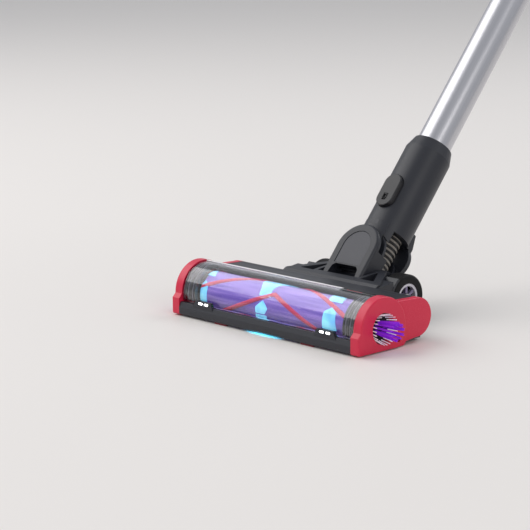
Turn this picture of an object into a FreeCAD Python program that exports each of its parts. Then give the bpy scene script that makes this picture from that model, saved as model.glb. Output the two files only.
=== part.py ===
import FreeCAD, Part
import math
import os

# Cordless stick vacuum, standing on its floor head and leaning back in the user's hand.
# Millimetres. +X is to the right of the head, +Y to the rear, +Z up.
# The origin is on the floor, under the middle of the rear felt strip.

V = FreeCAD.Vector

# ---- driving dimensions ----------------------------------------------------------------------

HEAD_HALF = 125.0        # half the width of the floor head over its end caps
CAP_IN = 115.0           # inner face of an end cap
CAP_LOBE = 122.5         # outer face of the cap's rear lobe, behind the proud barrel

ROLL_Y = -23.0           # axis of the brush roll
ROLL_Z = 21.5
TUBE_R = 16.0            # brush roll: tube, pile, bristle tips
PILE_R = 20.4
BRISTLE_R = 21.4
PILE_HALF = 97.0
TWIST = 1.15             # degrees of helix for each millimetre along the roll

BARREL_R = 29.3          # outline of the cap round the roll
NOTCH = 48.0             # where the barrel meets the flat top, in degrees above the rear
WINDOW_R = 28.2
WINDOW_WALL = 2.0
WINDOW_FRONT = 195.0     # the clear window runs from here over the top ...
WINDOW_REAR = 77.0       # ... to here
LOBE_Y = ROLL_Y + 48.5   # axis of the round back of the head
LOBE_Z = 23.75
LOBE_R = 18.3
WALL = 2.4

SOLE_LOW = 2.0           # underside and top of the sole plate
SOLE_TOP = 4.5
CHAMBER_R = 24.3         # wall behind the roll

PIVOT_Y = 75.0           # the neck tilts on this axis
PIVOT_Z = 24.0
TILT = 50.0              # lean of the wand above the floor
DRUM_R = 17.0
SLOT_HALF = 27.3         # half the gap in the saddle frame that the neck turns in
CLEAR_R = 32.2           # room round the pivot for the foot of the shield
SLOT_FRONT = 46.4        # front of the slot, where the shield leans when the neck stands up
SLOT_FLOOR = 32.0        # and how far down that front is cut
PIN_R = 4.0
RUN = 0.05               # radial clearance of a running fit

WHEEL_Y = 83.0
WHEEL_Z = 22.5
WHEEL_R = 22.5
RIM_R = 14.0
WHEEL_IN = 40.0
WHEEL_OUT = 58.0
AXLE_R = 2.5
AXLE_HEAD_R = 4.0

STEER_S = 31.0           # the neck steers on a pin at this distance along the wand
STEER_PIN_R = 5.0
SHIELD_HALF = 25.5
SHIELD_FRONT = 30.5
HOSE_Y = 3.0
HOSE_R = 14.0
BALL_R = 15.0

SOCKET_R = 24.0
SOCKET_LOW = 61.0
SOCKET_TOP = 167.0
WAND_R = 17.5
WAND_WALL = 1.2
WAND_LOW = 97.0
WAND_TOP = 702.0
COLLAR_R = 23.5
SPIGOT_R = 19.0

CUP_Y = 36.0             # axis of the dust cup and motor housing below the wand's axis
CUP_R = 46.0
CUP_WALL = 2.4
CUP_LOW = 800.0
CUP_TOP = 915.0
HOUSING_R = 48.0
HOUSING_TOP = 1010.0
CAP_TOP = 1028.0
GRIP_TOP = 80.0          # the pistol grip hangs between these distances below the wand
GRIP_LOW = 166.0
BATTERY_LOW = 206.0

WAND_FRAME = FreeCAD.Placement(
    V(0, PIVOT_Y, PIVOT_Z), FreeCAD.Rotation(V(1, 0, 0), TILT - 90.0))

os.makedirs("parts", exist_ok=True)

# ---- shapes ----------------------------------------------------------------------------------


def place(axis, a, b, depth):
    """A point of a plane square to an axis: a and b run along the other two, in X, Y, Z order."""
    if axis == "x":
        return V(depth, a, b)
    if axis == "y":
        return V(a, depth, b)
    return V(a, b, depth)


def around(centre, radius, degrees):
    """A point of a circle."""
    angle = math.radians(degrees)
    return (centre[0] + radius * math.cos(angle), centre[1] + radius * math.sin(angle))


def arc(centre, radius, start, end):
    """The middle and end of an arc, as plate takes them."""
    return (around(centre, radius, (start + end) / 2), around(centre, radius, end))


def plate(axis, low, high, steps):
    """A plate square to an axis. A step is a corner, or the middle and end of an arc."""
    here = place(axis, steps[0][0], steps[0][1], low)
    edges = []
    for step in steps[1:] + steps[:1]:
        if isinstance(step[0], tuple):
            middle = place(axis, step[0][0], step[0][1], low)
            end = place(axis, step[1][0], step[1][1], low)
            edges.append(Part.Arc(here, middle, end).toShape())
        else:
            end = place(axis, step[0], step[1], low)
            if here.distanceToPoint(end) > 1e-6:
                edges.append(Part.LineSegment(here, end).toShape())
        here = end
    return Part.Face(Part.Wire(edges)).extrude(place(axis, 0, 0, high - low))


def box(x0, x1, y0, y1, z0, z1):
    return Part.makeBox(x1 - x0, y1 - y0, z1 - z0, V(x0, y0, z0))


def rod(axis, centre, radius, low, high):
    return Part.makeCylinder(radius, high - low, place(axis, *centre, low), place(axis, 0, 0, 1))


def tube(axis, centre, outer, inner, low, high):
    return rod(axis, centre, outer, low, high).cut(rod(axis, centre, inner, low, high))


def cone(axis, centre, r_low, r_high, low, high):
    return Part.makeCone(
        r_low, r_high, high - low, place(axis, *centre, low), place(axis, 0, 0, 1))


def sector(axis, low, high, centre, inner, outer, start, end):
    """A piece of a ring between two angles."""
    return plate(axis, low, high, [
        around(centre, outer, start), arc(centre, outer, start, end),
        around(centre, inner, end), arc(centre, inner, end, start)])


def stadium(axis, low, high, centre, half_width, start, end):
    """A plate with round ends; it runs along the plane's second direction."""
    a = centre
    return plate(axis, low, high, [
        (a - half_width, start + half_width),
        ((a, start), (a + half_width, start + half_width)),
        (a + half_width, end - half_width),
        ((a, end), (a - half_width, end - half_width))])


def fuse(first, *rest):
    return first.fuse(list(rest)).removeSplitter()


def mirrored(shape):
    return shape.mirror(V(0, 0, 0), V(1, 0, 0))


def both_sides(shape):
    return [shape, mirrored(shape)]


def save(name, *shapes):
    """Writes one node; several shapes stay separate solids of that node."""
    solids = [solid for shape in shapes for solid in shape.Solids]
    whole = solids[0] if len(solids) == 1 else Part.makeCompound(solids)
    if not whole.isValid():
        print("not valid:", name)
    print(f"{name:24s} {len(solids)} solids {whole.Volume / 1000:9.2f} cm3")
    whole.exportStep(f"parts/{name}.step")


def on_wand(shape):
    """Carries a shape from the wand's frame (z along the wand, -y its front) to the row frame."""
    moved = shape.copy()
    moved.Placement = WAND_FRAME.multiply(moved.Placement)
    return moved


def save_on_wand(name, *shapes):
    save(name, *[on_wand(shape) for shape in shapes])


ROLL = (ROLL_Y, ROLL_Z)
LOBE = (LOBE_Y, LOBE_Z)
PIVOT = (PIVOT_Y, PIVOT_Z)
WHEEL = (WHEEL_Y, WHEEL_Z)

# ---- floor head: shell -----------------------------------------------------------------------

LIP_FRONT = ROLL_Y - 33.1
DUCT_HALF = 13.0         # the suction duct is an upright stadium on its side
DUCT_LOW = 9.0
DUCT_TOP = 31.0
BELT_LOW = 105.0         # the belt runs at the left between these distances from the middle
BELT_HIGH = 112.0
BOSSES = [(-60.0, 6.0), (60.0, 6.0), (-90.0, 28.0), (90.0, 28.0)]


def duct_section(low, high, grow):
    return box(-DUCT_HALF - grow, DUCT_HALF + grow, low, high, DUCT_LOW - grow, DUCT_TOP + grow)


def rounded_duct(low, high, grow, radius):
    block = duct_section(low, high, grow)
    along = [e for e in block.Edges if abs(e.tangentAt(e.FirstParameter).y) > 0.99]
    return block.makeFillet(radius, along)


def make_sole():
    plate_part = box(-CAP_IN, CAP_IN, ROLL_Y + 16, ROLL_Y + 60, SOLE_LOW, SOLE_TOP)
    wall = sector("x", -BELT_LOW + 1, CAP_IN, ROLL, CHAMBER_R, CHAMBER_R + 2, -48, 58)
    sole = fuse(plate_part, wall)
    sole = sole.cut(rounded_duct(ROLL_Y + 10, ROLL_Y + 30, -1.5, 6))
    for x, y in BOSSES:
        sole = sole.cut(rod("z", (x, y), 1.7, 0, 10))
        sole = sole.cut(rod("z", (x, y), 3.2, 0, SOLE_LOW + 1.5))
    return sole


def housing_outline(inset):
    """The dark back of the head: barrel arc, flat top and round back, open underneath."""
    r_barrel = BARREL_R - 0.4 - inset
    r_lobe = LOBE_R - inset
    notch = around(ROLL, r_barrel, NOTCH)
    return [
        around(ROLL, r_barrel, 75.5), arc(ROLL, r_barrel, 75.5, NOTCH), notch,
        around(LOBE, r_lobe, 98), arc(LOBE, r_lobe, 98, -78)]


def make_housing():
    skin = plate("x", -CAP_IN, CAP_IN, housing_outline(0) + [
        around(LOBE, LOBE_R - WALL, -78), arc(LOBE, LOBE_R - WALL, -78, 98),
        around(ROLL, BARREL_R - 0.4 - WALL, NOTCH), arc(ROLL, BARREL_R - 0.4 - WALL, NOTCH, 75.5)])
    foot = box(-CAP_IN, CAP_IN, LOBE_Y + 3, LOBE_Y + 10, SOLE_TOP, 8.2)
    foot = foot.cut(rod("x", LOBE, LOBE_R - WALL, -CAP_IN, CAP_IN))
    foot = foot.common(rod("x", LOBE, LOBE_R, -CAP_IN, CAP_IN))
    shell = fuse(skin, foot).cut(duct_section(LOBE_Y, LOBE_Y + 30, 0.2))
    inside = plate("x", -CAP_IN, CAP_IN, housing_outline(0.5) + [(LOBE_Y, SOLE_TOP), (-2, SOLE_TOP)])
    for x, y in BOSSES:
        shell = shell.fuse(rod("z", (x, y), 3.6, SOLE_TOP, 10.8))
        if y < 10:
            rib = box(x - 1.2, x + 1.2, y - 1.2, y + 6, SOLE_TOP, 44)
            shell = shell.fuse(rib.common(inside))
        shell = shell.cut(rod("z", (x, y), 1.4, 0, 10.7))
    return shell.removeSplitter()


def cap_front(low, high, rear_steps):
    """The cap's foot and barrel, closed at the rear by the given steps."""
    foot = (ROLL_Y - 30.6, 3.5)
    return plate("x", low, high, [
        (foot[0], 1.0), arc(foot, 2.5, 270, 180), (LIP_FRONT, 17.5),
        around(ROLL, BARREL_R, 180), arc(ROLL, BARREL_R, 180, NOTCH)] + rear_steps)


EDGE_HOLE_R = 14.6
CAP_SCREW = (ROLL_Y + 20, 8.0)


def make_cap():
    """The right end cap; the left one is its mirror image."""
    base = cap_front(CAP_IN, CAP_LOBE, [
        around(LOBE, LOBE_R + 0.1, 98), arc(LOBE, LOBE_R + 0.1, 98, -95),
        (ROLL_Y + 33, 4.0), (ROLL_Y + 30, 1.0)])
    seam_end = -math.degrees(math.asin((ROLL_Z - 1) / BARREL_R))
    proud = cap_front(CAP_LOBE, HEAD_HALF, [arc(ROLL, BARREL_R, NOTCH, seam_end)])
    outer_edges = [e for e in proud.Edges if abs(e.BoundBox.XMin - HEAD_HALF) < 1e-3]
    proud = proud.makeFillet(1.2, outer_edges)
    lobe_edges = [e for e in base.Edges
                  if abs(e.BoundBox.XMin - CAP_LOBE) < 1e-3 and e.BoundBox.YMax > ROLL_Y + 31]
    base = base.makeFillet(1.0, lobe_edges)
    cap = fuse(base, proud)
    cap = cap.cut(rod("x", ROLL, EDGE_HOLE_R, CAP_IN - 1, HEAD_HALF + 1))
    cap = cap.cut(rod("x", LOBE, 14.5, CAP_IN - 1, CAP_IN + 5))
    cap = cap.cut(rod("x", CAP_SCREW, 1.3, CAP_IN - 1, HEAD_HALF + 1))
    return cap.cut(rod("x", CAP_SCREW, 2.3, CAP_IN + 4, HEAD_HALF + 1))


POD_IN = 68.0            # the lamp pods stand on the front lip between these distances
POD_OUT = 96.0
LAMPS = [77.5, 85.5]


def make_lip():
    lip = plate("x", -CAP_IN, CAP_IN, [
        (LIP_FRONT + 1.5, 1.5), (LIP_FRONT, 3.0), (LIP_FRONT, 9.0), (ROLL_Y - 31.2, 14.0),
        (ROLL_Y - 27.6, 14.0), (ROLL_Y - 27.6, 12.0), (ROLL_Y - 29.6, 10.5),
        (ROLL_Y - 30.0, 4.0), (ROLL_Y - 26.5, 1.5)])
    for side in (-1, 1):
        pod = plate("y", LIP_FRONT, ROLL_Y - 28.6, [
            (side * POD_IN, 12), (side * POD_OUT, 12), (side * (POD_OUT - 4), 18.7),
            (side * (POD_IN + 3), 18.7)])
        slope = plate("x", -CAP_IN, CAP_IN, [
            (LIP_FRONT - 1, 8.0), (LIP_FRONT, 8.0), (ROLL_Y - 31.6, 19.5), (LIP_FRONT - 1, 19.5)])
        lip = lip.fuse(pod.cut(slope))
    lip = lip.removeSplitter()
    for side in (-1, 1):
        hollow = box(69.5, 93.0, ROLL_Y - 31.2, ROLL_Y - 26.0, 9.5, 17.6)
        lip = lip.cut(hollow if side > 0 else mirrored(hollow))
        for x in LAMPS:
            window = box(x - 2.8, x + 2.8, LIP_FRONT - 1, ROLL_Y - 30, 15.3, 17.4)
            lip = lip.cut(window if side > 0 else mirrored(window))
    return lip.cut(box(-24, 24, ROLL_Y - 31.5, ROLL_Y - 28, 0, 3.2))


def make_duct():
    duct = rounded_duct(ROLL_Y + CHAMBER_R + 2.6, PIVOT_Y - 10, 0, 6)
    duct = duct.cut(rounded_duct(ROLL_Y + 10, PIVOT_Y, -1.5, 4.5))
    return duct.cut(rod("x", PIVOT, DRUM_R + 0.5, -30, 30))


def make_saddle():
    """Bridge, sloping arms, fenders and cheeks that carry the neck and the wheels."""
    slope = plate("x", -64, 64, [
        (ROLL_Y + 55.5, 40.0), (ROLL_Y + 60, 42.6), (ROLL_Y + 100, 46.6),
        (ROLL_Y + 100, 43.0), (ROLL_Y + 60, 38.0)])
    plan = plate("z", 0, 60, [
        (-62, ROLL_Y + 50), (62, ROLL_Y + 50), (62, ROLL_Y + 62), (36, ROLL_Y + 100),
        (-36, ROLL_Y + 100), (-62, ROLL_Y + 62)])
    slope = slope.common(plan)
    block = plate("x", -64, 64, [
        (ROLL_Y + 55, 39.0), (ROLL_Y + 60, 40.6), (ROLL_Y + 79, 43.0), (ROLL_Y + 76, 30.0),
        (ROLL_Y + 76, 12.0), (ROLL_Y + 60, 8.0)])
    for pocket in both_sides(box(41, 61, ROLL_Y + 70.5, ROLL_Y + 76.5, 0, 34)):
        block = block.cut(pocket)
    frame = fuse(block, slope)
    for side in (1, -1):
        near, far = sorted((side * SLOT_HALF, side * 37.6))
        cheek = plate("x", near, far, [
            (ROLL_Y + 66, 10.0), (ROLL_Y + 66, 40.0), (ROLL_Y + 100, 46.0),
            (ROLL_Y + 112, 40.0), (ROLL_Y + 116, 22.0), (ROLL_Y + 108, 10.0)])
        near, far = sorted((side * 37.6, side * 60.0))
        fender = sector("x", near, far, WHEEL, WHEEL_R + 1.5, WHEEL_R + 4, 126, 172)
        frame = frame.fuse([cheek, fender])
    frame = frame.removeSplitter()
    hole = plate("z", 30, 60, [
        (SLOT_HALF + 4, ROLL_Y + 67), (49, ROLL_Y + 67.5), (SLOT_HALF + 6.5, ROLL_Y + 90),
        (SLOT_HALF + 4, ROLL_Y + 90)])
    hole = hole.cut(rod("x", WHEEL, WHEEL_R + 3.9, 0, 80))
    room = rod("x", PIVOT, CLEAR_R, -SLOT_HALF, SLOT_HALF).fuse(
        box(-SLOT_HALF, SLOT_HALF, SLOT_FRONT, PIVOT_Y, SLOT_FLOOR, 60))
    rear_gap = box(-SLOT_HALF, SLOT_HALF, PIVOT_Y - 6, PIVOT_Y + 60, 0, 60)
    tyres = rod("x", WHEEL, WHEEL_R + 1.2, 38.6, 70)
    for cutter in [room, rear_gap, duct_section(0, 80, 0.3),
                   rod("x", LOBE, LOBE_R + 0.05, -70, 70), box(-70, 70, -60, LOBE_Y, 0, 60)
                   ] + both_sides(hole) + both_sides(tyres):
        frame = frame.cut(cutter)
    frame = frame.cut(rod("x", PIVOT, PIN_R, -50, 50))
    frame = frame.cut(rod("x", WHEEL, AXLE_R, -70, 70))
    biggest = sorted(frame.Solids, key=lambda solid: solid.Volume)
    return biggest[-1]


save("sole_plate", make_sole())
save("rear_housing", make_housing())
save("end_cap_right", make_cap())
save("end_cap_left", mirrored(make_cap()))
save("front_lip", make_lip())
save("brush_window", sector("x", -CAP_IN, CAP_IN, ROLL, WINDOW_R - WINDOW_WALL, WINDOW_R,
                            WINDOW_FRONT, WINDOW_REAR))
save("badge_panel", sector("x", 70, 112.5, ROLL, WINDOW_R + 0.02, WINDOW_R + 0.5,
                           WINDOW_REAR + 0.5, 92))
save("suction_duct", make_duct())
save("saddle_frame", make_saddle())

# ---- floor head: lamps, motor, belt, felts, fixings ------------------------------------------


def make_lamps():
    lens = [box(x - 2.7, x + 2.7, ROLL_Y - 32.3, ROLL_Y - 30.4, 15.4, 17.3) for x in LAMPS]
    lens = [block.makeFillet(0.9, [e for e in block.Edges if e.BoundBox.YLength > 1])
            for block in lens]
    return lens + [mirrored(block) for block in lens]


PINION_R = 5.0
PULLEY_R = 15.0
PINION_TEETH = 12
PULLEY_TEETH = 36


def toothed(centre, radius, teeth, low, high, bore):
    """A belt pulley: round grooves in a disc."""
    wheel = tube("x", centre, radius, bore, low, high)
    for i in range(teeth):
        groove = around(centre, radius + 0.1, i * 360 / teeth)
        wheel = wheel.cut(rod("x", groove, 0.55, low - 1, high + 1))
    return wheel


def belt_loop(grow):
    """A closed band round the two pulleys, as a plate."""
    big = PULLEY_R + grow
    small = PINION_R + grow
    rise = math.degrees(math.atan2(LOBE_Z - ROLL_Z, LOBE_Y - ROLL_Y))
    span = math.hypot(LOBE_Z - ROLL_Z, LOBE_Y - ROLL_Y)
    lean = math.degrees(math.acos((big - small) / span))
    return plate("x", -BELT_HIGH + 0.6, -BELT_LOW - 0.6, [
        around(ROLL, big, rise + lean), arc(ROLL, big, rise + lean, rise + 360 - lean),
        around(LOBE, small, rise - lean), arc(LOBE, small, rise - lean, rise + lean)])


def make_motor():
    can = rod("x", LOBE, 12.5, -98, -42)
    nose = rod("x", LOBE, 5.0, -100, -98)
    tail = rod("x", LOBE, 4.0, -42, -39)
    return fuse(can, nose, tail).cut(rod("x", LOBE, 1.5 + RUN, -101, -85))


felts = [box(-105, 105, -2.5, 2.5, 0, SOLE_LOW)]
felts += both_sides(box(50, 66, ROLL_Y - 31.3, ROLL_Y - 27.0, 0, 1.5))

lower_screw = fuse(rod("z", (0, 0), 3.0, SOLE_LOW + 0.2, SOLE_LOW + 1.5),
                   rod("z", (0, 0), 1.35, SOLE_LOW + 1.5, 10.5))
lower_screw = lower_screw.cut(box(-2, 2, -0.4, 0.4, 0, SOLE_LOW + 0.7))
lower_screw = lower_screw.cut(box(-0.4, 0.4, -2, 2, 0, SOLE_LOW + 0.7))
head_screws = [lower_screw.translated(V(x, y, 0)) for x, y in BOSSES]
cap_screw = fuse(rod("x", CAP_SCREW, 2.2, CAP_IN + 4, CAP_IN + 5.6),
                 rod("x", CAP_SCREW, 1.25, CAP_IN, CAP_IN + 4))
head_screws += both_sides(cap_screw)

axle = fuse(rod("x", WHEEL, AXLE_R, 29, WHEEL_OUT - 3),
            rod("x", WHEEL, AXLE_HEAD_R, WHEEL_OUT - 3, WHEEL_OUT - 1.5))
pitch_pin = rod("x", PIVOT, PIN_R, 22.5, 37.6)
bearing = tube("x", ROLL, EDGE_HOLE_R, 13.0 + RUN, CAP_IN + 0.4, CAP_IN + 3.4)

save("led_lenses", *make_lamps())
save("led_board", *both_sides(box(70, 92.5, ROLL_Y - 30.3, ROLL_Y - 29.2, 10, 17.4)))
save("floor_light", box(-23.8, 23.8, ROLL_Y - 31.3, ROLL_Y - 30.1, 1.7, 3.1))
save("brush_motor", make_motor())
save("drive_belt", belt_loop(1.3).cut(belt_loop(0.15)))
save("roll_bearings", *both_sides(bearing))
save("wheel_axles", *both_sides(axle))
save("pitch_pins", *both_sides(pitch_pin))
save("head_screws", *head_screws)
save("felt_strips", *felts)

# ---- brush roll ------------------------------------------------------------------------------


def helix_band(start, inner, outer, half_angle, length):
    """One bristle strip: a narrow bar round the roll, lofted from sections along its helix."""
    sections = []
    steps = 8
    for i in range(steps + 1):
        x = length * i / steps
        middle = start + TWIST * x
        corners = [around(ROLL, inner, middle - half_angle), around(ROLL, outer, middle - half_angle),
                   around(ROLL, outer, middle + half_angle), around(ROLL, inner, middle + half_angle)]
        points = [place("x", a, b, x) for a, b in corners]
        sections.append(Part.makePolygon(points + points[:1]))
    return Part.makeLoft(sections, True, False)


STRIP_HALF_ANGLE = 4.4

bristles = []
for quarter in range(4):
    half = helix_band(45 + 90 * quarter, TUBE_R + 0.5, BRISTLE_R, STRIP_HALF_ANGLE, PILE_HALF)
    bristles.append(fuse(half, mirrored(half)))

# Light pads laid on the pile: from x, to x, from angle, to angle.
PADS = [(-104, -88, 147, 196), (-103, -89, 93, 119), (-26, -8, 84, 146), (-19, -4, 160, 228),
        (64, 82, 88, 118), (68, 84, 148, 194)]
pads = []
for x0, x1, a0, a1 in PADS:
    low = max(x0, -PILE_HALF)
    pads.append(sector("x", low, x1, ROLL, PILE_R + 0.05, PILE_R + 0.4, a0, a1))


def make_hub(with_pulley):
    """The right end plug of the roll: plug, collar and journal; the left one carries the pulley."""
    pieces = [rod("x", ROLL, TUBE_R - 1.6, 88, 100.2), rod("x", ROLL, TUBE_R, 100.2, 104),
              rod("x", ROLL, 13.0, 104, 119)]
    hub = fuse(*pieces).cut(rod("x", ROLL, 8, 80, 112))
    if with_pulley:
        ring = toothed(ROLL, PULLEY_R, PULLEY_TEETH, -BELT_HIGH, -BELT_LOW, 12.0)
        hub = fuse(mirrored(hub), ring)
    return hub


def edge_ring():
    """Pale bristles that flare out past the end cap."""
    profile = [(119, 11.0), (119, 12.6), (129.2, 14.7), (129.4, 13.4)]
    points = [V(x, ROLL_Y, ROLL_Z + r) for x, r in profile]
    face = Part.Face(Part.makePolygon(points + points[:1]))
    return face.revolve(V(0, ROLL_Y, ROLL_Z), V(1, 0, 0), 360)


def edge_tufts():
    tufts = []
    count = 10
    for i in range(count):
        a, b = around(ROLL, 5.8, 360 * i / count)
        c, d = around(ROLL, 9.4, 360 * i / count)
        root = V(119, a, b)
        direction = V(144, c, d).sub(root)
        tuft = Part.makeCone(1.4, 1.9, direction.Length, root, direction)
        tufts.append(tuft.common(rod("x", ROLL, 16, 119, 146)))
    return tufts


save("roll_tube", tube("x", ROLL, TUBE_R, TUBE_R - 1.5, -100, 100))
save("roll_pile", tube("x", ROLL, PILE_R, TUBE_R + 0.02, -PILE_HALF, PILE_HALF))
save("roll_bristles", *bristles)
save("roll_pads", *pads)
save("roll_end_hubs", make_hub(False), make_hub(True))
save("edge_bristles_white", *both_sides(edge_ring()))
save("edge_bristles_purple", *edge_tufts(), *[mirrored(tuft) for tuft in edge_tufts()])

pinion = toothed(LOBE, PINION_R, PINION_TEETH, -BELT_HIGH, -BELT_LOW, 1.0)
save("drive_pinion", fuse(pinion, rod("x", LOBE, 1.5, -BELT_LOW - 1, -86)))

# ---- wheels ----------------------------------------------------------------------------------


def make_tyre():
    tyre = tube("x", WHEEL, WHEEL_R, RIM_R, WHEEL_IN, WHEEL_OUT)
    rims = [e for e in tyre.Edges if abs(e.BoundBox.ZLength - 2 * WHEEL_R) < 0.1]
    return tyre.makeFillet(3.0, [e for e in rims if e.BoundBox.XLength < 0.1])


def make_rim():
    ring = tube("x", WHEEL, RIM_R - 0.02, RIM_R - 2.6, WHEEL_IN + 1, WHEEL_OUT - 0.6)
    web = rod("x", WHEEL, RIM_R - 2, WHEEL_IN + 5, WHEEL_IN + 8)
    hub = rod("x", WHEEL, 5.0, WHEEL_IN + 1, WHEEL_OUT - 4)
    rim = fuse(ring, web, hub)
    spokes = []
    for i in range(6):
        spoke = box(WHEEL_IN + 6, WHEEL_OUT - 2, -1.4, 1.4, AXLE_HEAD_R + 0.5, RIM_R - 1.5)
        spoke.Placement = FreeCAD.Placement(
            V(0, WHEEL_Y, WHEEL_Z), FreeCAD.Rotation(V(1, 0, 0), 60.0 * i))
        spokes.append(spoke)
    return rim.fuse(spokes).removeSplitter().cut(rod("x", WHEEL, AXLE_R + RUN, 0, 80))


save("tyre_right", make_tyre())
save("tyre_left", mirrored(make_tyre()))
save("wheel_rim_right", make_rim())
save("wheel_rim_left", mirrored(make_rim()))

# ---- neck: yoke with the shield (wand frame) -------------------------------------------------


def shield_plate(back, front, half, low, round_centre=STEER_S):
    """An upright plate with a round top, between two distances in front of the wand's axis."""
    return plate("y", -front, -back, [
        (-half, low), (half, low), (half, round_centre),
        ((0, round_centre + half), (-half, round_centre))])


TONGUE_FRONT = 24.6      # the socket's tongue lies in a slot of the shield
TONGUE_BACK = 19.0
GAP = 0.4
ARM_IN = 18.5            # rear arm of the yoke, then the rear lobe of the socket
ARM_OUT = 21.5
LOBE_IN = 22.0
LOBE_OUT = 27.0
NOTCH_TOP = 9.0


def make_yoke():
    front = shield_plate(TONGUE_FRONT + GAP, SHIELD_FRONT, SHIELD_HALF, -2)
    back = shield_plate(15.5, TONGUE_BACK - GAP, SHIELD_HALF, -2)
    wall = box(20.3, SHIELD_HALF, -SHIELD_FRONT + 1, -9, -2, STEER_S)
    foot = box(16, SHIELD_HALF, -SHIELD_FRONT + 1, -9, -2, 10.6)
    shield = fuse(front, back, *both_sides(wall), *both_sides(foot))
    edge = [e for e in shield.Edges if abs(e.BoundBox.YMax + SHIELD_FRONT) < 1e-3
            and e.BoundBox.ZMax > 12]
    shield = shield.makeFillet(3.0, edge)
    notch = plate("y", -40, 6 - DRUM_R, [
        (-18.3, -3), (18.3, -3), (16.8, NOTCH_TOP - 3), (13.5, NOTCH_TOP), (-13.5, NOTCH_TOP),
        (-16.8, NOTCH_TOP - 3)])
    shield = shield.cut(notch)
    shield = shield.cut(shield_plate(SHIELD_FRONT - 1.2, SHIELD_FRONT + 1, 16.7, 10.4))
    drum = rod("x", (0, 0), DRUM_R, -SLOT_HALF + 0.5, SLOT_HALF - 0.5)
    arm = plate("y", ARM_IN, ARM_OUT, [(-13, -6), (13, -6), (13, STEER_S),
                                       ((0, STEER_S + 13), (-13, STEER_S))])
    web = box(-13, 13, 10, ARM_IN + 0.5, -6, 8)
    yoke = fuse(shield, drum, arm, web)
    yoke = yoke.cut(rod("x", (0, 0), DRUM_R - 2, -21, 21))
    yoke = yoke.cut(rod("x", (0, 0), PIN_R + RUN, -40, 40))
    mouth = sector("x", -14, 14, (0, 0), 5, DRUM_R + 3, 172, 298)
    yoke = yoke.cut(mouth)
    yoke = yoke.cut(rod("z", (0, HOSE_Y), HOSE_R - 1.9, 2, 20))
    yoke = yoke.cut(Part.makeSphere(BALL_R + 0.4, V(0, HOSE_Y, STEER_S)))
    yoke = yoke.cut(rod("y", (0, STEER_S), STEER_PIN_R, -SHIELD_FRONT + 2.4, -15))
    return yoke.cut(rod("y", (0, STEER_S), STEER_PIN_R, ARM_IN - 1, ARM_OUT + 1))


def make_hose_lower():
    hose = tube("z", (0, HOSE_Y), HOSE_R, HOSE_R - 2, 8.1, STEER_S)
    hose = hose.cut(rod("x", (0, 0), DRUM_R + 0.02, -40, 40))
    return hose.cut(Part.makeSphere(BALL_R + 0.4, V(0, HOSE_Y, STEER_S)))


def make_hose_upper():
    ball = Part.makeSphere(BALL_R, V(0, HOSE_Y, STEER_S))
    ball = ball.common(box(-20, 20, -20, 30, STEER_S - 9.6, STEER_S + 20))
    hose = fuse(ball, rod("z", (0, HOSE_Y), HOSE_R, STEER_S, 72))
    bore = rod("z", (0, HOSE_Y), HOSE_R - 2, STEER_S - 12, 80)
    return hose.cut(bore)


steer_pins = [
    rod("y", (0, STEER_S), STEER_PIN_R, -SHIELD_FRONT + 2.5, -15.6),
    fuse(rod("y", (0, STEER_S), STEER_PIN_R, ARM_IN, LOBE_OUT + 0.3),
         rod("y", (0, STEER_S), 7.5, LOBE_OUT + 0.3, LOBE_OUT + 1.8))]

save_on_wand("neck_yoke", make_yoke())
save_on_wand("neck_shield_panel",
             shield_plate(SHIELD_FRONT - 1.2, SHIELD_FRONT - 0.5, 16.5, 10.6))
save_on_wand("hose_lower", make_hose_lower())
save_on_wand("steer_pins", *steer_pins)

# ---- neck: socket and its button -------------------------------------------------------------

BUTTON_LOW = 80.0
BUTTON_TOP = 117.0
BUTTON_HALF = 10.0


def make_socket():
    body = fuse(rod("z", (0, 0), SOCKET_R, SOCKET_LOW, 155),
                cone("z", (0, 0), SOCKET_R, 20.3, 155, SOCKET_TOP))
    throat = box(-15, 15, -TONGUE_FRONT, -TONGUE_BACK, STEER_S, SOCKET_LOW + 5)
    tongue = fuse(rod("y", (0, STEER_S), 19.8, -TONGUE_FRONT, -TONGUE_BACK),
                  throat.common(rod("z", (0, 0), SOCKET_R + 0.4, STEER_S, 100)))
    tongue = tongue.cut(box(-30, 30, -40, -23.9, SOCKET_LOW, 200))
    collar = rod("z", (0, 0), SOCKET_R, 38, SOCKET_LOW).common(
        box(-30, 30, -30, -TONGUE_BACK + 6, 38, SOCKET_LOW))
    collar = collar.cut(rod("y", (0, STEER_S), SHIELD_HALF + 0.6, -40, 40))
    lobe = fuse(rod("y", (0, 45), 21, LOBE_IN, LOBE_OUT),
                box(-15, 15, LOBE_IN, LOBE_OUT, 42, SOCKET_LOW + 3))
    skirt = plate("x", -15, 15, [(14, SOCKET_LOW), (LOBE_OUT, SOCKET_LOW), (LOBE_OUT, SOCKET_LOW + 3),
                                 (22, SOCKET_LOW + 16), (14, SOCKET_LOW + 16)])
    socket = fuse(body, tongue, collar, lobe, skirt)
    socket = socket.cut(rod("z", (0, 0), WAND_R + RUN, WAND_LOW, 200))
    socket = socket.cut(rod("z", (0, HOSE_Y), HOSE_R + 0.6, SOCKET_LOW - 20, 74))
    socket = socket.cut(rod("z", (0, 0), 15, 70, WAND_LOW + 1))
    socket = socket.cut(rod("y", (0, STEER_S), STEER_PIN_R + RUN, -40, 40))
    return socket.cut(stadium("y", -40, -19.4, 0, BUTTON_HALF + 0.25, BUTTON_LOW - 0.25,
                              BUTTON_TOP + 0.25))


def make_button():
    button = stadium("y", -27.4, -21.6, 0, BUTTON_HALF, BUTTON_LOW, BUTTON_TOP)
    rim = [e for e in button.Edges if abs(e.BoundBox.YMax + 27.4) < 1e-3]
    button = button.makeFillet(1.2, rim)
    return button.cut(box(-2.4, 2.4, -30, -26.2, 86.5, 92.5))


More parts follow.
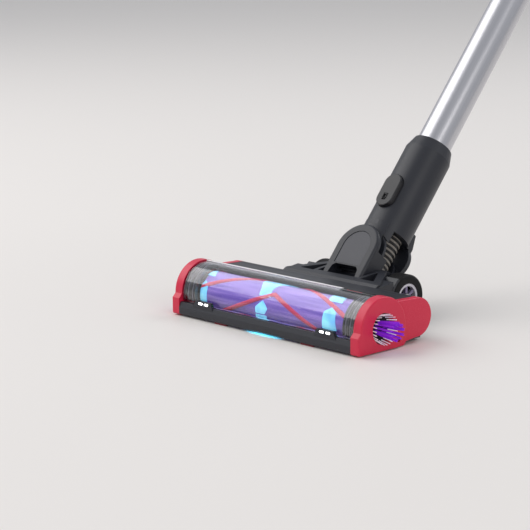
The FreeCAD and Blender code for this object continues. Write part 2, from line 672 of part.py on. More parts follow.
save_on_wand("neck_socket", make_socket())
save_on_wand("hose_upper", make_hose_upper())
save_on_wand("socket_button", make_button())

# ---- wand ------------------------------------------------------------------------------------

COLLAR_LOW = 682.0
COLLAR_TOP = 771.0


def make_collar():
    collar = fuse(cone("z", (0, 0), 19.5, COLLAR_R, COLLAR_LOW, COLLAR_LOW + 14),
                  rod("z", (0, 0), COLLAR_R, COLLAR_LOW + 14, COLLAR_TOP))
    collar = collar.cut(rod("z", (0, 0), WAND_R, COLLAR_LOW, WAND_TOP))
    collar = collar.cut(rod("z", (0, 0), SPIGOT_R + RUN, WAND_TOP, COLLAR_TOP))
    return collar.cut(stadium("y", -40, -20.6, 0, 7.25, 718.75, 749.25))


def make_wand_button():
    button = stadium("y", -26.2, -22.2, 0, 7.0, 719, 749)
    return button.makeFillet(0.9, [e for e in button.Edges if abs(e.BoundBox.YMax + 26.2) < 1e-3])


save_on_wand("wand_tube", tube("z", (0, 0), WAND_R, WAND_R - WAND_WALL, WAND_LOW, WAND_TOP))
save_on_wand("wand_collar", make_collar())
save_on_wand("wand_button", make_wand_button())

# ---- main unit: inlet, dust cup, cyclone, lid ------------------------------------------------

CUP = (0.0, CUP_Y)
LID_EDGE = 24.0          # the lid is the cup's end below this line
LID_HINGE = (CUP_Y + 50.5, CUP_LOW - 3.0)
HOUSING_IN = HOUSING_R - WALL


def half_disc(radius, edge, low, high):
    """A disc about the cup's axis, cut off above a line."""
    disc = rod("z", CUP, radius, low, high)
    return disc.common(box(-100, 100, edge, 200, low - 1, high + 1))


def make_nozzle():
    spigot = rod("z", (0, 0), SPIGOT_R, 706, 772)
    flange = rod("z", (0, 0), 23.0, 771.5, 777)
    neck = cone("z", (0, 0), 22.0, 20.0, 777, CUP_LOW + 6)
    return fuse(spigot, flange, neck).cut(rod("z", (0, 0), 16.3, 700, 820))


def make_cup():
    wall = tube("z", CUP, CUP_R, CUP_R - CUP_WALL, CUP_LOW, CUP_TOP)
    end = rod("z", CUP, CUP_R, CUP_LOW, CUP_LOW + 3).cut(
        half_disc(CUP_R - CUP_WALL - 0.01, LID_EDGE - 1.5, CUP_LOW - 1, CUP_LOW + 4))
    snout = rod("z", (0, 0), 23.0, CUP_LOW, CUP_LOW + 12)
    cup = fuse(wall, end, snout.cut(rod("z", CUP, CUP_R - CUP_WALL, CUP_LOW + 3, CUP_TOP)))
    cup = cup.cut(cone("z", (0, 0), 22.05, 20.05, 777, CUP_LOW + 6))
    cup = cup.cut(rod("z", (0, 0), 16.5, CUP_LOW - 1, CUP_LOW + 20).common(
        rod("z", CUP, CUP_R - 0.5, CUP_LOW - 1, CUP_LOW + 20)))
    for x0, x1 in [(-16, -11), (11, 16)]:
        ear = box(x0, x1, CUP_Y + CUP_R - 3, LID_HINGE[0] + 3.5, CUP_LOW, CUP_LOW + 6)
        cup = cup.fuse([ear, rod("x", LID_HINGE, 5.0, x0, x1)])
    cup = cup.removeSplitter()
    return cup.cut(rod("x", LID_HINGE, 1.5, -30, 30))


def make_lid():
    cover = half_disc(CUP_R - 0.5, LID_EDGE, CUP_LOW - 3.4, CUP_LOW - 0.3)
    rim = half_disc(CUP_R - CUP_WALL - 0.6, LID_EDGE + 0.6, CUP_LOW - 0.3, CUP_LOW + 2.6)
    rim = rim.cut(half_disc(CUP_R - CUP_WALL - 3.0, LID_EDGE + 3.4, CUP_LOW - 0.3, CUP_LOW + 5))
    knuckle = box(-10.5, 10.5, CUP_Y + CUP_R - 6, LID_HINGE[0], CUP_LOW - 3.4, CUP_LOW - 0.8)
    barrel = rod("x", LID_HINGE, 3.0, -10.5, 10.5)
    lid = fuse(cover, rim, knuckle, barrel)
    return lid.cut(rod("x", LID_HINGE, 1.5 + RUN, -30, 30))


LATCH_Y = (CUP_Y - 6, CUP_Y + 6)


def make_latch():
    body = box(CUP_R + 0.8, CUP_R + 5.5, *LATCH_Y, CUP_LOW - 7, CUP_LOW + 18)
    hook = box(CUP_R - 2.6, CUP_R + 0.8, *LATCH_Y, CUP_LOW - 7, CUP_LOW - 3.8)
    return fuse(body, hook)


def make_shroud():
    mesh = tube("z", CUP, 25.0, 23.4, 826, 900)
    for i in range(16):
        slot = box(20, 28, -1.4, 1.4, 838, 890)
        slot.Placement = FreeCAD.Placement(V(0, CUP_Y, 0), FreeCAD.Rotation(V(0, 0, 1), 22.5 * i))
        mesh = mesh.cut(slot)
    return fuse(mesh, cone("z", CUP, 12.0, 25.0, 818, 826))


def make_crown():
    """The skirt, the ring that closes the cup's top, and the vortex finder hung from it."""
    skirt = cone("z", CUP, 36.0, 34.0, 900, 906).cut(rod("z", CUP, 23.4, 899, 907))
    crown = tube("z", CUP, 43.4, 23.4, 906, CUP_TOP)
    finder = tube("z", CUP, 14.0, 12.6, 845, CUP_TOP)
    spokes = box(-24, 24, CUP_Y - 2, CUP_Y + 2, 907, 912).cut(rod("z", CUP, 13.5, 900, 920))
    return fuse(skirt, crown, finder, spokes)


save_on_wand("inlet_nozzle", make_nozzle())
save_on_wand("dust_cup", make_cup())
save_on_wand("cup_lid", make_lid())
save_on_wand("lid_latch", make_latch())
save_on_wand("cyclone_shroud", make_shroud())
save_on_wand("cyclone_crown", make_crown())

# ---- main unit: motor, filter, exhaust -------------------------------------------------------

BOSS_R = 21.0
MODE_BUTTON = (0.0, CUP_Y + 13.0)
MOTOR_LOW = 938.0
MOTOR_TOP = 972.0


def make_motor_housing():
    shell = tube("z", CUP, HOUSING_R, HOUSING_IN, CUP_TOP, HOUSING_TOP)
    front = rod("z", CUP, HOUSING_R, CUP_TOP, CUP_TOP + 2.5).cut(
        rod("z", CUP, 22, CUP_TOP - 1, CUP_TOP + 3))
    return fuse(shell, front)


def make_deck():
    """The vented floor under the filter, with the boss that carries the display."""
    deck = rod("z", CUP, HOUSING_IN, MOTOR_TOP, MOTOR_TOP + 2.5)
    for i in range(8):
        vent = around(CUP, 37, 45 * i + 22.5)
        deck = deck.cut(rod("z", vent, 5.0, MOTOR_TOP - 1, MOTOR_TOP + 4))
    boss = rod("z", CUP, BOSS_R, MOTOR_TOP, CAP_TOP + 0.6)
    deck = fuse(deck, boss)
    deck = deck.cut(rod("z", MODE_BUTTON, 4.7, CAP_TOP - 4, CAP_TOP + 2))
    deck = deck.cut(rod("z", (0, CUP_Y - 4), 10.6, CAP_TOP - 1, CAP_TOP + 2))
    return deck.cut(rod("z", CUP, BOSS_R - 2.5, MOTOR_TOP + 2.5, CAP_TOP - 6))


def make_fan_motor():
    can = fuse(rod("z", CUP, 27, MOTOR_LOW, MOTOR_TOP), rod("z", CUP, 33, MOTOR_LOW, MOTOR_LOW + 3))
    for i in range(12):
        groove = around(CUP, 27.5, 30 * i)
        can = can.cut(rod("z", groove, 1.8, MOTOR_LOW + 6, MOTOR_TOP - 4))
    return can.cut(rod("z", CUP, 2.5 + RUN, MOTOR_LOW - 1, MOTOR_LOW + 20))


def make_impeller():
    hub = fuse(rod("z", CUP, 26, MOTOR_LOW - 2.5, MOTOR_LOW - 0.8),
               cone("z", CUP, 6, 14, MOTOR_LOW - 14, MOTOR_LOW - 2.5),
               rod("z", CUP, 2.5, MOTOR_LOW - 1, MOTOR_LOW + 15))
    blades = []
    for i in range(9):
        blade = plate("z", MOTOR_LOW - 12, MOTOR_LOW - 2, [
            (9, 0), ((17, 3.0), (25, 9.0)), (24.6, 10.1), ((16.4, 4.3), (8.4, 1.2))])
        blade.Placement = FreeCAD.Placement(V(0, CUP_Y, 0), FreeCAD.Rotation(V(0, 0, 1), 40.0 * i))
        blades.append(blade)
    return hub.fuse(blades).removeSplitter()


def make_filter():
    """A pleated ring: its outline swings in and out round the axis."""
    points = []
    pleats = 36
    for i in range(2 * pleats):
        radius = 43.0 if i % 2 else 38.0
        points.append(around(CUP, radius, 180.0 * i / pleats))
    ring = plate("z", MOTOR_TOP + 3.2, HOUSING_TOP - 3, points)
    return ring.cut(rod("z", CUP, 33.0, MOTOR_TOP, HOUSING_TOP))


def make_exhaust_cap():
    cap = rod("z", CUP, HOUSING_R, HOUSING_TOP + 0.3, CAP_TOP)
    rim = [e for e in cap.Edges if e.BoundBox.ZMin > CAP_TOP - 0.1]
    cap = cap.makeFillet(5.0, rim)
    cap = cap.cut(rod("z", CUP, HOUSING_R - 2.6, HOUSING_TOP, CAP_TOP - 2.6))
    cap = cap.cut(rod("z", CUP, BOSS_R + 0.3, HOUSING_TOP, CAP_TOP + 1))
    for i in range(20):
        slot = box(25, 40, -1.5, 1.5, HOUSING_TOP, CAP_TOP + 1)
        slot.Placement = FreeCAD.Placement(V(0, CUP_Y, 0), FreeCAD.Rotation(V(0, 0, 1), 18.0 * i))
        cap = cap.cut(slot)
    return cap


save_on_wand("motor_housing", make_motor_housing())
save_on_wand("filter_deck", make_deck())
save_on_wand("fan_motor", make_fan_motor())
save_on_wand("impeller", make_impeller())
save_on_wand("pleated_filter", make_filter())
save_on_wand("exhaust_cap", make_exhaust_cap())
save_on_wand("display_lens", rod("z", (0, CUP_Y - 4), 10.4, CAP_TOP - 0.9, CAP_TOP + 1.0))
save_on_wand("mode_button", rod("z", MODE_BUTTON, 4.5, CAP_TOP - 2, CAP_TOP + 1.8))

# ---- main unit: grip, trigger, battery -------------------------------------------------------

TRIGGER_Y = (94.0, 122.0)


def grip_column():
    """The grip leans forward as it goes down: a loft of three ovals."""
    sections = []
    for y, s, deep, wide in [(GRIP_TOP, 978, 21, 15), (122, 970, 17, 14.5), (GRIP_LOW - 4, 956, 19, 15)]:
        oval = Part.Ellipse(V(0, 0, 0), deep, wide).toShape()
        wire = Part.Wire([oval])
        wire.Placement = FreeCAD.Placement(
            V(0, y, s), FreeCAD.Rotation(V(0, 0, 1), V(0, 1, 0)).multiply(
                FreeCAD.Rotation(V(0, 0, 1), 90)))
        sections.append(wire)
    return Part.makeLoft(sections, True, False)


def make_grip():
    saddle = box(-20, 20, CUP_Y + 30, GRIP_TOP + 12, 930, 1004)
    saddle = saddle.cut(rod("z", CUP, HOUSING_R - 1, 900, 1020))
    ends = [e for e in saddle.Edges if abs(e.BoundBox.YLength) > 5 and e.BoundBox.ZLength < 0.1
            and e.BoundBox.XLength < 0.1]
    saddle = saddle.makeFillet(6, ends)
    foot = box(-30, 30, GRIP_LOW - 10, GRIP_LOW, 908, 1004)
    foot = foot.makeFillet(5, [e for e in foot.Edges if abs(e.BoundBox.YLength - 10) < 1e-3])
    grip = fuse(saddle, grip_column(), foot)
    pocket = box(-7.3, 7.3, TRIGGER_Y[0] - 0.3, TRIGGER_Y[1] + 0.3, 930, 974)
    channel = box(-6, 6, 98, 150, 984.6, 1002)
    grip = grip.cut(rod("z", CUP, HOUSING_R, 900, 1020))
    return grip.cut(pocket).cut(channel)


def make_trigger():
    block = plate("x", -7, 7, [
        (TRIGGER_Y[0], 966.5), (TRIGGER_Y[1], 966.5), (TRIGGER_Y[1], 946),
        ((108, 950.5), (TRIGGER_Y[0], 948))])
    return block.cut(box(-3.2, 3.2, 104, 112, 959, 967))


def make_trigger_spring():
    """A short coil between the trigger and the back of its pocket."""
    path = Part.makeHelix(2.4, 13.6, 2.2)
    section = Part.Wire([Part.Circle(V(2.2, 0, 0), V(0, 1, 0), 0.35).toShape()])
    coil = Part.Wire(path).makePipeShell([section], True, True)
    coil.Placement = FreeCAD.Placement(V(0, 108, 959.9), FreeCAD.Rotation())
    return coil


def make_battery():
    pack = box(-34, 34, GRIP_LOW + 0.3, BATTERY_LOW, 900, 1014)
    pack = pack.makeFillet(6, [e for e in pack.Edges if e.BoundBox.YLength > 30])
    bottom = [e for e in pack.Edges if e.BoundBox.YMin > BATTERY_LOW - 0.1]
    pack = pack.makeChamfer(2.0, bottom)
    pack = pack.cut(rod("z", (0, BATTERY_LOW - 14), 2.75, 1005, 1015))
    return pack.cut(box(26, 35, GRIP_LOW + 8, GRIP_LOW + 24, 940, 975))


save_on_wand("handle_grip", make_grip())
save_on_wand("trigger", make_trigger())
save_on_wand("trigger_spring", make_trigger_spring())
save_on_wand("battery_pack", make_battery())
save_on_wand("battery_latch", box(28.5, 34.6, GRIP_LOW + 8.3, GRIP_LOW + 23.7, 940.3, 974.7))
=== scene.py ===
import math

import bmesh
import bpy
import numpy as np
from mathutils import Matrix, Vector


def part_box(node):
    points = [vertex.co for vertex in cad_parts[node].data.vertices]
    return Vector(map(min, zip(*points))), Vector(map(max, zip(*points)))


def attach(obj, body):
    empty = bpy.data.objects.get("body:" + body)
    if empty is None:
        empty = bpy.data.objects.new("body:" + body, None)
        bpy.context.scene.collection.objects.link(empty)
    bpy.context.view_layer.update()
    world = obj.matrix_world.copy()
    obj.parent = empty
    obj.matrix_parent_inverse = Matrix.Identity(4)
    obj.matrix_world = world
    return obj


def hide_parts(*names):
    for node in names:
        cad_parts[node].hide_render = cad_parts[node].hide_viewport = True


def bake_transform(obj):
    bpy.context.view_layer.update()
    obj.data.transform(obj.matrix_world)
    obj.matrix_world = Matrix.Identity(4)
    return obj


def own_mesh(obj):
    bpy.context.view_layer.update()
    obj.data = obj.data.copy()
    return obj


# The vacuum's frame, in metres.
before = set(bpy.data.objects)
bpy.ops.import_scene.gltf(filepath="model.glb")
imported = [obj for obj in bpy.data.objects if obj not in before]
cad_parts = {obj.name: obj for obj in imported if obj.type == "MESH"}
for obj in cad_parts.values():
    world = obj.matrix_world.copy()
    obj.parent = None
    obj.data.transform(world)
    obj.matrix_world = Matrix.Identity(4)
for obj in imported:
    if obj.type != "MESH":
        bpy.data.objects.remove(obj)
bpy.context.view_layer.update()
MM = 0.001

# ---- camera, floor and studio light ----------------------------------------------------------
# A camera at standing height looks down along the head's right front corner; a pale sweep of
# floor runs under the cleaner, with a large soft box at the left and a weaker one at the right.

VIEW_AZIMUTH = math.radians(46.19)
VIEW_ELEVATION = math.radians(11.70)
VIEW_ROLL = math.radians(-0.41)
VIEW_DISTANCE = 1.9548
VIEW_TARGET = Vector((-0.03805, -0.01394, 0.05529))

back = Vector((math.sin(VIEW_AZIMUTH) * math.cos(VIEW_ELEVATION),
               -math.cos(VIEW_AZIMUTH) * math.cos(VIEW_ELEVATION), math.sin(VIEW_ELEVATION)))
level = Vector((0, 0, 1)).cross(back).normalized()
upright = back.cross(level)
right = level * math.cos(VIEW_ROLL) + upright * math.sin(VIEW_ROLL)
up = upright * math.cos(VIEW_ROLL) - level * math.sin(VIEW_ROLL)
camera = bpy.data.objects.new("camera", bpy.data.cameras.new("camera"))
camera.matrix_world = (Matrix.Translation(VIEW_TARGET + back * VIEW_DISTANCE)
                       @ Matrix((right, up, back)).transposed().to_4x4())
camera.data.sensor_width = 36.0
camera.data.lens = 139.3
camera.data.clip_start = 0.05
bpy.context.collection.objects.link(camera)
bpy.context.scene.camera = camera
bpy.context.scene.view_settings.view_transform = "Standard"


def node(tree, kind, sockets=None, **settings):
    """Adds a shader node; a socket in sockets is linked, and any other value is set."""
    made = tree.nodes.new("ShaderNode" + kind)
    for name, value in settings.items():
        setattr(made, name, value)
    for key, value in (sockets or {}).items():
        if isinstance(value, bpy.types.NodeSocket):
            tree.links.new(value, made.inputs[key])
        else:
            made.inputs[key].default_value = value
    return made


def blended(tree, factor, a, b):
    """The colour a where factor is 0 and b where it is 1."""
    mix = node(tree, "Mix", {0: factor, 6: a, 7: b}, data_type="RGBA")
    return mix.outputs[2]


def maths(tree, operation, a, b=0.0, clamp=False):
    made = node(tree, "Math", {0: a, 1: b}, operation=operation, use_clamp=clamp)
    return made.outputs[0]


def ramp(tree, factor, stops):
    """A colour ramp; stops are (place, colour)."""
    made = node(tree, "ValToRGB", {0: factor})
    elements = made.color_ramp.elements
    for element, (place, colour) in zip(elements, stops):
        element.position, element.color = place, colour
    for place, colour in stops[2:]:
        elements.new(place).color = colour
    return made.outputs[0]


def grey(value):
    return (value, value, value, 1.0)


def empty_material(name):
    """A material with nothing but its output; returns it with its tree and output node."""
    material = bpy.data.materials.new(name)
    material.use_nodes = True
    tree = material.node_tree
    tree.nodes.clear()
    return material, tree, tree.nodes.new("ShaderNodeOutputMaterial")


floor_size = 9.0
floor_mesh = bpy.data.meshes.new("studio_floor")
floor_mesh.from_pydata([(-floor_size, -floor_size, 0), (floor_size, -floor_size, 0),
                        (floor_size, floor_size, 0), (-floor_size, floor_size, 0)], [],
                       [(0, 1, 2, 3)])
floor = bpy.data.objects.new("studio_floor", floor_mesh)
bpy.context.collection.objects.link(floor)

floor_paint, tree, out = empty_material("pale_floor")
floor_tone = node(tree, "TexNoise", {"Scale": 3.0, "Detail": 2.0})
floor_colour = blended(tree, floor_tone.outputs[0], (0.80, 0.77, 0.74, 1), (0.84, 0.81, 0.78, 1))
shader = node(tree, "BsdfPrincipled", {"Base Color": floor_colour, "Roughness": 0.55})
tree.links.new(shader.outputs[0], out.inputs[0])
floor_mesh.materials.append(floor_paint)

world = bpy.data.worlds.new("studio")
world.use_nodes = True
world.node_tree.nodes["Background"].inputs[0].default_value = (0.93, 0.95, 1.0, 1)
world.node_tree.nodes["Background"].inputs[1].default_value = 0.55
bpy.context.scene.world = world


def soft_box(name, place, aim, width, height, power, colour):
    """A rectangular area lamp at place that shines towards aim."""
    lamp = bpy.data.lights.new(name, "AREA")
    lamp.shape, lamp.size, lamp.size_y, lamp.energy, lamp.color = (
        "RECTANGLE", width, height, power, colour)
    holder = bpy.data.objects.new(name, lamp)
    holder.location = place
    holder.rotation_euler = (Vector(aim) - Vector(place)).to_track_quat("-Z", "Y").to_euler()
    bpy.context.collection.objects.link(holder)


soft_box("key_box", (-1.7, -0.9, 2.0), (0, 0.1, 0.1), 3.2, 2.4, 46, (1.0, 0.98, 0.96))
soft_box("fill_box", (2.2, -0.6, 1.1), (0, 0, 0.05), 1.2, 1.2, 9, (1.0, 0.97, 0.93))
soft_box("rear_box", (0.4, 2.4, 2.2), (0, 0, 0.1), 1.6, 1.0, 20, (1.0, 1.0, 1.0))

# ---- moulded plastic: the look that most casings share ---------------------------------------
# Injection-moulded ABS with a fine spark-eroded grain. Handling polishes its high spots and
# leaves slightly paler edges; broad, faint changes of tone come from the moulding.


def edge_wear_group():
    """Edges: how far a rounded normal leans from the true one, broken up by noise."""
    group = bpy.data.node_groups.new("edge_wear", "ShaderNodeTree")
    for title, value in (("Radius", 0.0006), ("Breakup", 180.0)):
        group.interface.new_socket(
            title, in_out="INPUT", socket_type="NodeSocketFloat").default_value = value
    group.interface.new_socket("Mask", in_out="OUTPUT", socket_type="NodeSocketFloat")
    given = group.nodes.new("NodeGroupInput")
    result = group.nodes.new("NodeGroupOutput")
    rounded = node(group, "Bevel", {"Radius": given.outputs[0]}, samples=4)
    true = group.nodes.new("ShaderNodeNewGeometry")
    lean = node(group, "VectorMath", {0: rounded.outputs[0], 1: true.outputs["Normal"]},
                operation="DOT_PRODUCT")
    away = maths(group, "SUBTRACT", 1.0, lean.outputs["Value"])
    strong = maths(group, "MULTIPLY", away, 9.0, clamp=True)
    place = group.nodes.new("ShaderNodeTexCoord")
    rub = node(group, "TexNoise", {"Vector": place.outputs["Object"],
                                   "Scale": given.outputs[1], "Detail": 3.0})
    patch = maths(group, "MULTIPLY", rub.outputs[0], 1.5, clamp=True)
    group.links.new(maths(group, "MULTIPLY", strong, patch), result.inputs[0])
    return group


def moulding_group(wear):
    """Colour, roughness and height of moulded plastic, from its colour and grain size."""
    group = bpy.data.node_groups.new("moulded_plastic", "ShaderNodeTree")
    new = group.interface.new_socket
    new("Color", in_out="INPUT", socket_type="NodeSocketColor")
    for title, value in (("Grain", 2600.0), ("Roughness", 0.45), ("Tone", 0.10), ("Wear", 0.2)):
        new(title, in_out="INPUT", socket_type="NodeSocketFloat").default_value = value
    new("Color", in_out="OUTPUT", socket_type="NodeSocketColor")
    new("Roughness", in_out="OUTPUT", socket_type="NodeSocketFloat")
    new("Height", in_out="OUTPUT", socket_type="NodeSocketFloat")
    given = group.nodes.new("NodeGroupInput")
    result = group.nodes.new("NodeGroupOutput")
    place = group.nodes.new("ShaderNodeTexCoord").outputs["Object"]
    broad = node(group, "TexNoise", {"Vector": place, "Scale": 14.0, "Detail": 4.0}).outputs[0]
    grain = node(group, "TexNoise", {"Vector": place, "Scale": given.outputs["Grain"],
                                     "Detail": 2.0}).outputs[0]
    mask = node(group, "Group", node_tree=wear).outputs[0]
    dark = node(group, "HueSaturation", {"Color": given.outputs["Color"], "Value": 0.72}).outputs[0]
    pale = node(group, "HueSaturation", {"Color": given.outputs["Color"], "Saturation": 0.8,
                                         "Value": 1.9}).outputs[0]
    toned = blended(group, maths(group, "MULTIPLY", broad, given.outputs["Tone"]),
                    given.outputs["Color"], dark)
    speck = maths(group, "MULTIPLY", maths(group, "GREATER_THAN", grain, 0.62), 0.12)
    toned = blended(group, speck, toned, pale)
    worn = blended(group, maths(group, "MULTIPLY", mask, given.outputs["Wear"]), toned, pale)
    group.links.new(worn, result.inputs[0])
    swing = maths(group, "MULTIPLY", maths(group, "SUBTRACT", broad, 0.5), 0.22)
    rough = maths(group, "ADD", given.outputs["Roughness"], swing)
    rough = maths(group, "SUBTRACT", rough, maths(group, "MULTIPLY", mask, 0.1), clamp=True)
    group.links.new(rough, result.inputs[1])
    group.links.new(grain, result.inputs[2])
    return group


edge_wear = edge_wear_group()
moulded = moulding_group(edge_wear)


def plastic(name, colour, roughness=0.45, grain=2600.0, depth=0.03, tone=0.5, wear=0.25,
            coat=0.0, soft_edge=0.0005):
    """A moulded plastic: the shared grain, a rounded-edge normal and an optional clear coat."""
    material, tree, out = empty_material(name)
    look = node(tree, "Group", node_tree=moulded)
    for key, value in (("Color", (*colour, 1.0)), ("Grain", grain), ("Roughness", roughness),
                       ("Tone", tone), ("Wear", wear)):
        look.inputs[key].default_value = value
    rounded = node(tree, "Bevel", {"Radius": soft_edge}, samples=4)
    bump = node(tree, "Bump", {"Strength": 1.0, "Distance": depth * MM,
                               "Height": look.outputs["Height"], "Normal": rounded.outputs[0]})
    shader = node(tree, "BsdfPrincipled", {
        "Base Color": look.outputs["Color"], "Roughness": look.outputs["Roughness"],
        "Normal": bump.outputs[0], "Coat Weight": coat, "Coat Roughness": 0.12})
    tree.links.new(shader.outputs[0], out.inputs[0])
    return material


def finish_nodes(material, *names):
    """Gives carried-over CAD nodes their finish."""
    for name in names:
        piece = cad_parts[name]
        if not piece.material_slots:
            piece.data.materials.append(material)
        for place in piece.material_slots:
            place.material = material


charcoal = plastic("charcoal_moulding", (0.018, 0.020, 0.028), roughness=0.42, tone=0.4, wear=0.3)
black_gloss = plastic("black_gloss_moulding", (0.008, 0.008, 0.010), roughness=0.16, depth=0.006,
                      grain=900.0, wear=0.15, coat=0.6)
panel_grey = plastic("panel_moulding", (0.029, 0.031, 0.044), roughness=0.38, tone=0.3, wear=0.3)

finish_nodes(charcoal, "sole_plate", "rear_housing", "front_lip", "saddle_frame")
finish_nodes(black_gloss, "badge_panel", "suction_duct")

# ---- end caps --------------------------------------------------------------------------------
# Two coral ABS mouldings close the ends of the head, each held by one sunken screw. The skin is
# satin with a clear lacquer, palest along the rim where furniture rubs it.

coral = plastic("coral_moulding", (0.68, 0.006, 0.052), roughness=0.38, depth=0.02, grain=1800.0,
                tone=0.35, wear=0.15, coat=0.08, soft_edge=0.0007)
finish_nodes(coral, "end_cap_left", "end_cap_right")


# ---- clear window over the brush -------------------------------------------------------------
# One polycarbonate shell from cap to cap. It is clear, with faint hairline scratches that run
# along it; a polished rim stiffens its rear edge, its pale colour a painted highlight, and thin
# ribs stiffen its ends.

ROLL_Y, ROLL_Z = -0.023, 0.0215
CAP_IN = 0.115
WINDOW_R = 0.0282


def clear_plastic(name, tint, roughness=0.03, ior=1.49, scratches=0.25):
    """Clear plastic that lets lamps through, with fine scratches in its gloss."""
    material, tree, out = empty_material(name)
    place = tree.nodes.new("ShaderNodeTexCoord").outputs["Object"]
    stretched = node(tree, "Mapping", {"Vector": place, "Scale": (40.0, 900.0, 900.0)})
    hair = node(tree, "TexNoise", {"Vector": stretched.outputs[0], "Scale": 1.0, "Detail": 4.0})
    line = ramp(tree, hair.outputs[0], [(0.55, grey(0)), (0.75, grey(1))])
    rough = maths(tree, "ADD", roughness, maths(tree, "MULTIPLY", line, scratches))
    bump = node(tree, "Bump", {"Strength": 0.2, "Distance": 0.00003, "Height": hair.outputs[0]})
    glass = node(tree, "BsdfPrincipled", {
        "Base Color": tint, "Roughness": rough, "IOR": ior, "Transmission Weight": 1.0,
        "Normal": bump.outputs[0]})
    light = node(tree, "BsdfTransparent", {"Color": tint})
    path = tree.nodes.new("ShaderNodeLightPath")
    mix = node(tree, "MixShader", {0: path.outputs["Is Shadow Ray"]})
    tree.links.new(glass.outputs[0], mix.inputs[1])
    tree.links.new(light.outputs[0], mix.inputs[2])
    tree.links.new(mix.outputs[0], out.inputs[0])
    return material


def ring_point(x, radius, degrees):
    """Points about the brush roll's axis; every argument may be an array."""
    angle = np.radians(degrees)
    x, radius, angle = np.broadcast_arrays(x, radius, angle)
    return np.stack([x, ROLL_Y + radius * np.cos(angle), ROLL_Z + radius * np.sin(angle)], -1)


def skin(grid, wrap_rows=False, wrap_columns=False, start=0):
    """Quads between neighbours of a grid of points; the grid may close on itself either way."""
    rows, columns = grid.shape[:2]
    i, j = np.meshgrid(np.arange(rows if wrap_rows else rows - 1),
                       np.arange(columns if wrap_columns else columns - 1), indexing="ij")
    down, across = (i + 1) % rows, (j + 1) % columns
    quads = np.stack([i * columns + j, down * columns + j, down * columns + across,
                      i * columns + across], -1).reshape(-1, 4) + start
    return quads


def new_piece(name, points, faces, material, body, slot, smooth=40.0):
    """A mesh piece that faces outwards, shaded smooth but for edges over an angle.

    It rides on body, unless that is None."""
    mesh = bpy.data.meshes.new(name)
    points = np.asarray(points, float).reshape(-1, 3)
    mesh.from_pydata(points.tolist(), [], [list(map(int, face)) for face in faces])
    work = bmesh.new()
    work.from_mesh(mesh)
    bmesh.ops.remove_doubles(work, verts=work.verts, dist=1e-7)
    bmesh.ops.recalc_face_normals(work, faces=work.faces)
    work.to_mesh(mesh)
    work.free()
    mesh.shade_smooth()
    mesh.set_sharp_from_angle(angle=math.radians(smooth))
    mesh.materials.append(material)
    piece = bpy.data.objects.new(name, mesh)
    bpy.context.collection.objects.link(piece)
    if body:
        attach(piece, body)
    return piece


def tubes(grids, closed_rows=False):
    """Points and faces of many closed forms, each a grid whose columns go round it."""
    points, faces, start = [], [], 0
    for grid in grids:
        rows, columns = grid.shape[:2]
        points.append(grid.reshape(-1, 3))
        faces += skin(grid, wrap_rows=closed_rows, wrap_columns=True, start=start).tolist()
        if not closed_rows:
            faces.append(list(range(start, start + columns)))
            faces.append(list(range(start + (rows - 1) * columns, start + rows * columns)))
        start += rows * columns
    return np.concatenate(points), faces


def band(x, outline, angles):
    """A band bent round the roll's axis: outline is a closed loop of (x offset, radius)."""
    offsets = np.array([a for a, _ in outline])
    radii = np.array([b for _, b in outline])
    return ring_point(x + offsets[None, :], radii[None, :], np.asarray(angles)[:, None])


window_clear = clear_plastic("clear_polycarbonate", (0.97, 0.97, 1.0, 1))
finish_nodes(window_clear, "brush_window")

rim_profile = [(-0.0013, 0.0), (0.0013, 0.0), (0.0013, 0.0006), (0.0008, 0.0010),
               (-0.0008, 0.0010), (-0.0013, 0.0006)]
rim_x = np.linspace(-CAP_IN + 0.0004, 0.0695, 40)
rim_angle = np.array([a for a, _ in rim_profile])[None, :] / WINDOW_R
rim_grid = ring_point(rim_x[:, None], WINDOW_R + np.array([b for _, b in rim_profile])[None, :],
                      80.5 + np.degrees(rim_angle))
# The rim's pale colour is a painted highlight along the window's rear edge.
rim_highlight_paint = plastic("pale_rim_painted_highlight", (0.85, 0.82, 0.84), roughness=0.22, depth=0.004, coat=0.5)
new_piece("window_rear_rim", *tubes([rim_grid]), rim_highlight_paint, "floor_head", "clear_plastic")

# A coral stripe is printed along the badge that covers the window's right rear corner.
stripe_x = np.linspace(0.078, 0.097, 12)
stripe = ring_point(stripe_x[:, None], np.array([0.02871, 0.02871, 0.02881, 0.02881])[None, :],
                    np.array([87.4, 88.6, 88.6, 87.4])[None, :])
new_piece("badge_stripe", *tubes([stripe]), coral, "floor_head", "coral_plastic")

# Ribs inside the window's ends: rings of clear and dark plastic that hide the roll's hubs.
rib_angles = np.linspace(79, 193, 60)
rib_outline = [(-0.0007, 0.0225), (0.0007, 0.0225), (0.0007, 0.0259), (-0.0007, 0.0259)]
dark_ribs, clear_ribs = [], []
for side in (-1, 1):
    for k, distance in enumerate(np.arange(0.0995, 0.1145, 0.0029)):
        grid = band(side * distance, rib_outline, rib_angles)
        (clear_ribs if k % 2 else dark_ribs).append(grid)
new_piece("window_end_gaskets", *tubes(dark_ribs), black_gloss, "floor_head", "black_plastic")
silver_rib = plastic("silver_rib", (0.10, 0.10, 0.13), roughness=0.25, depth=0.004, coat=0.4)
new_piece("window_end_ribs", *tubes(clear_ribs), silver_rib, "floor_head", "clear_plastic")

# ---- lamps on the front lip ------------------------------------------------------------------
# Two pods each hold a pair of white lamps behind domed lenses, on a small circuit board. A cyan
# lamp shines down through the lip's middle on to the floor.


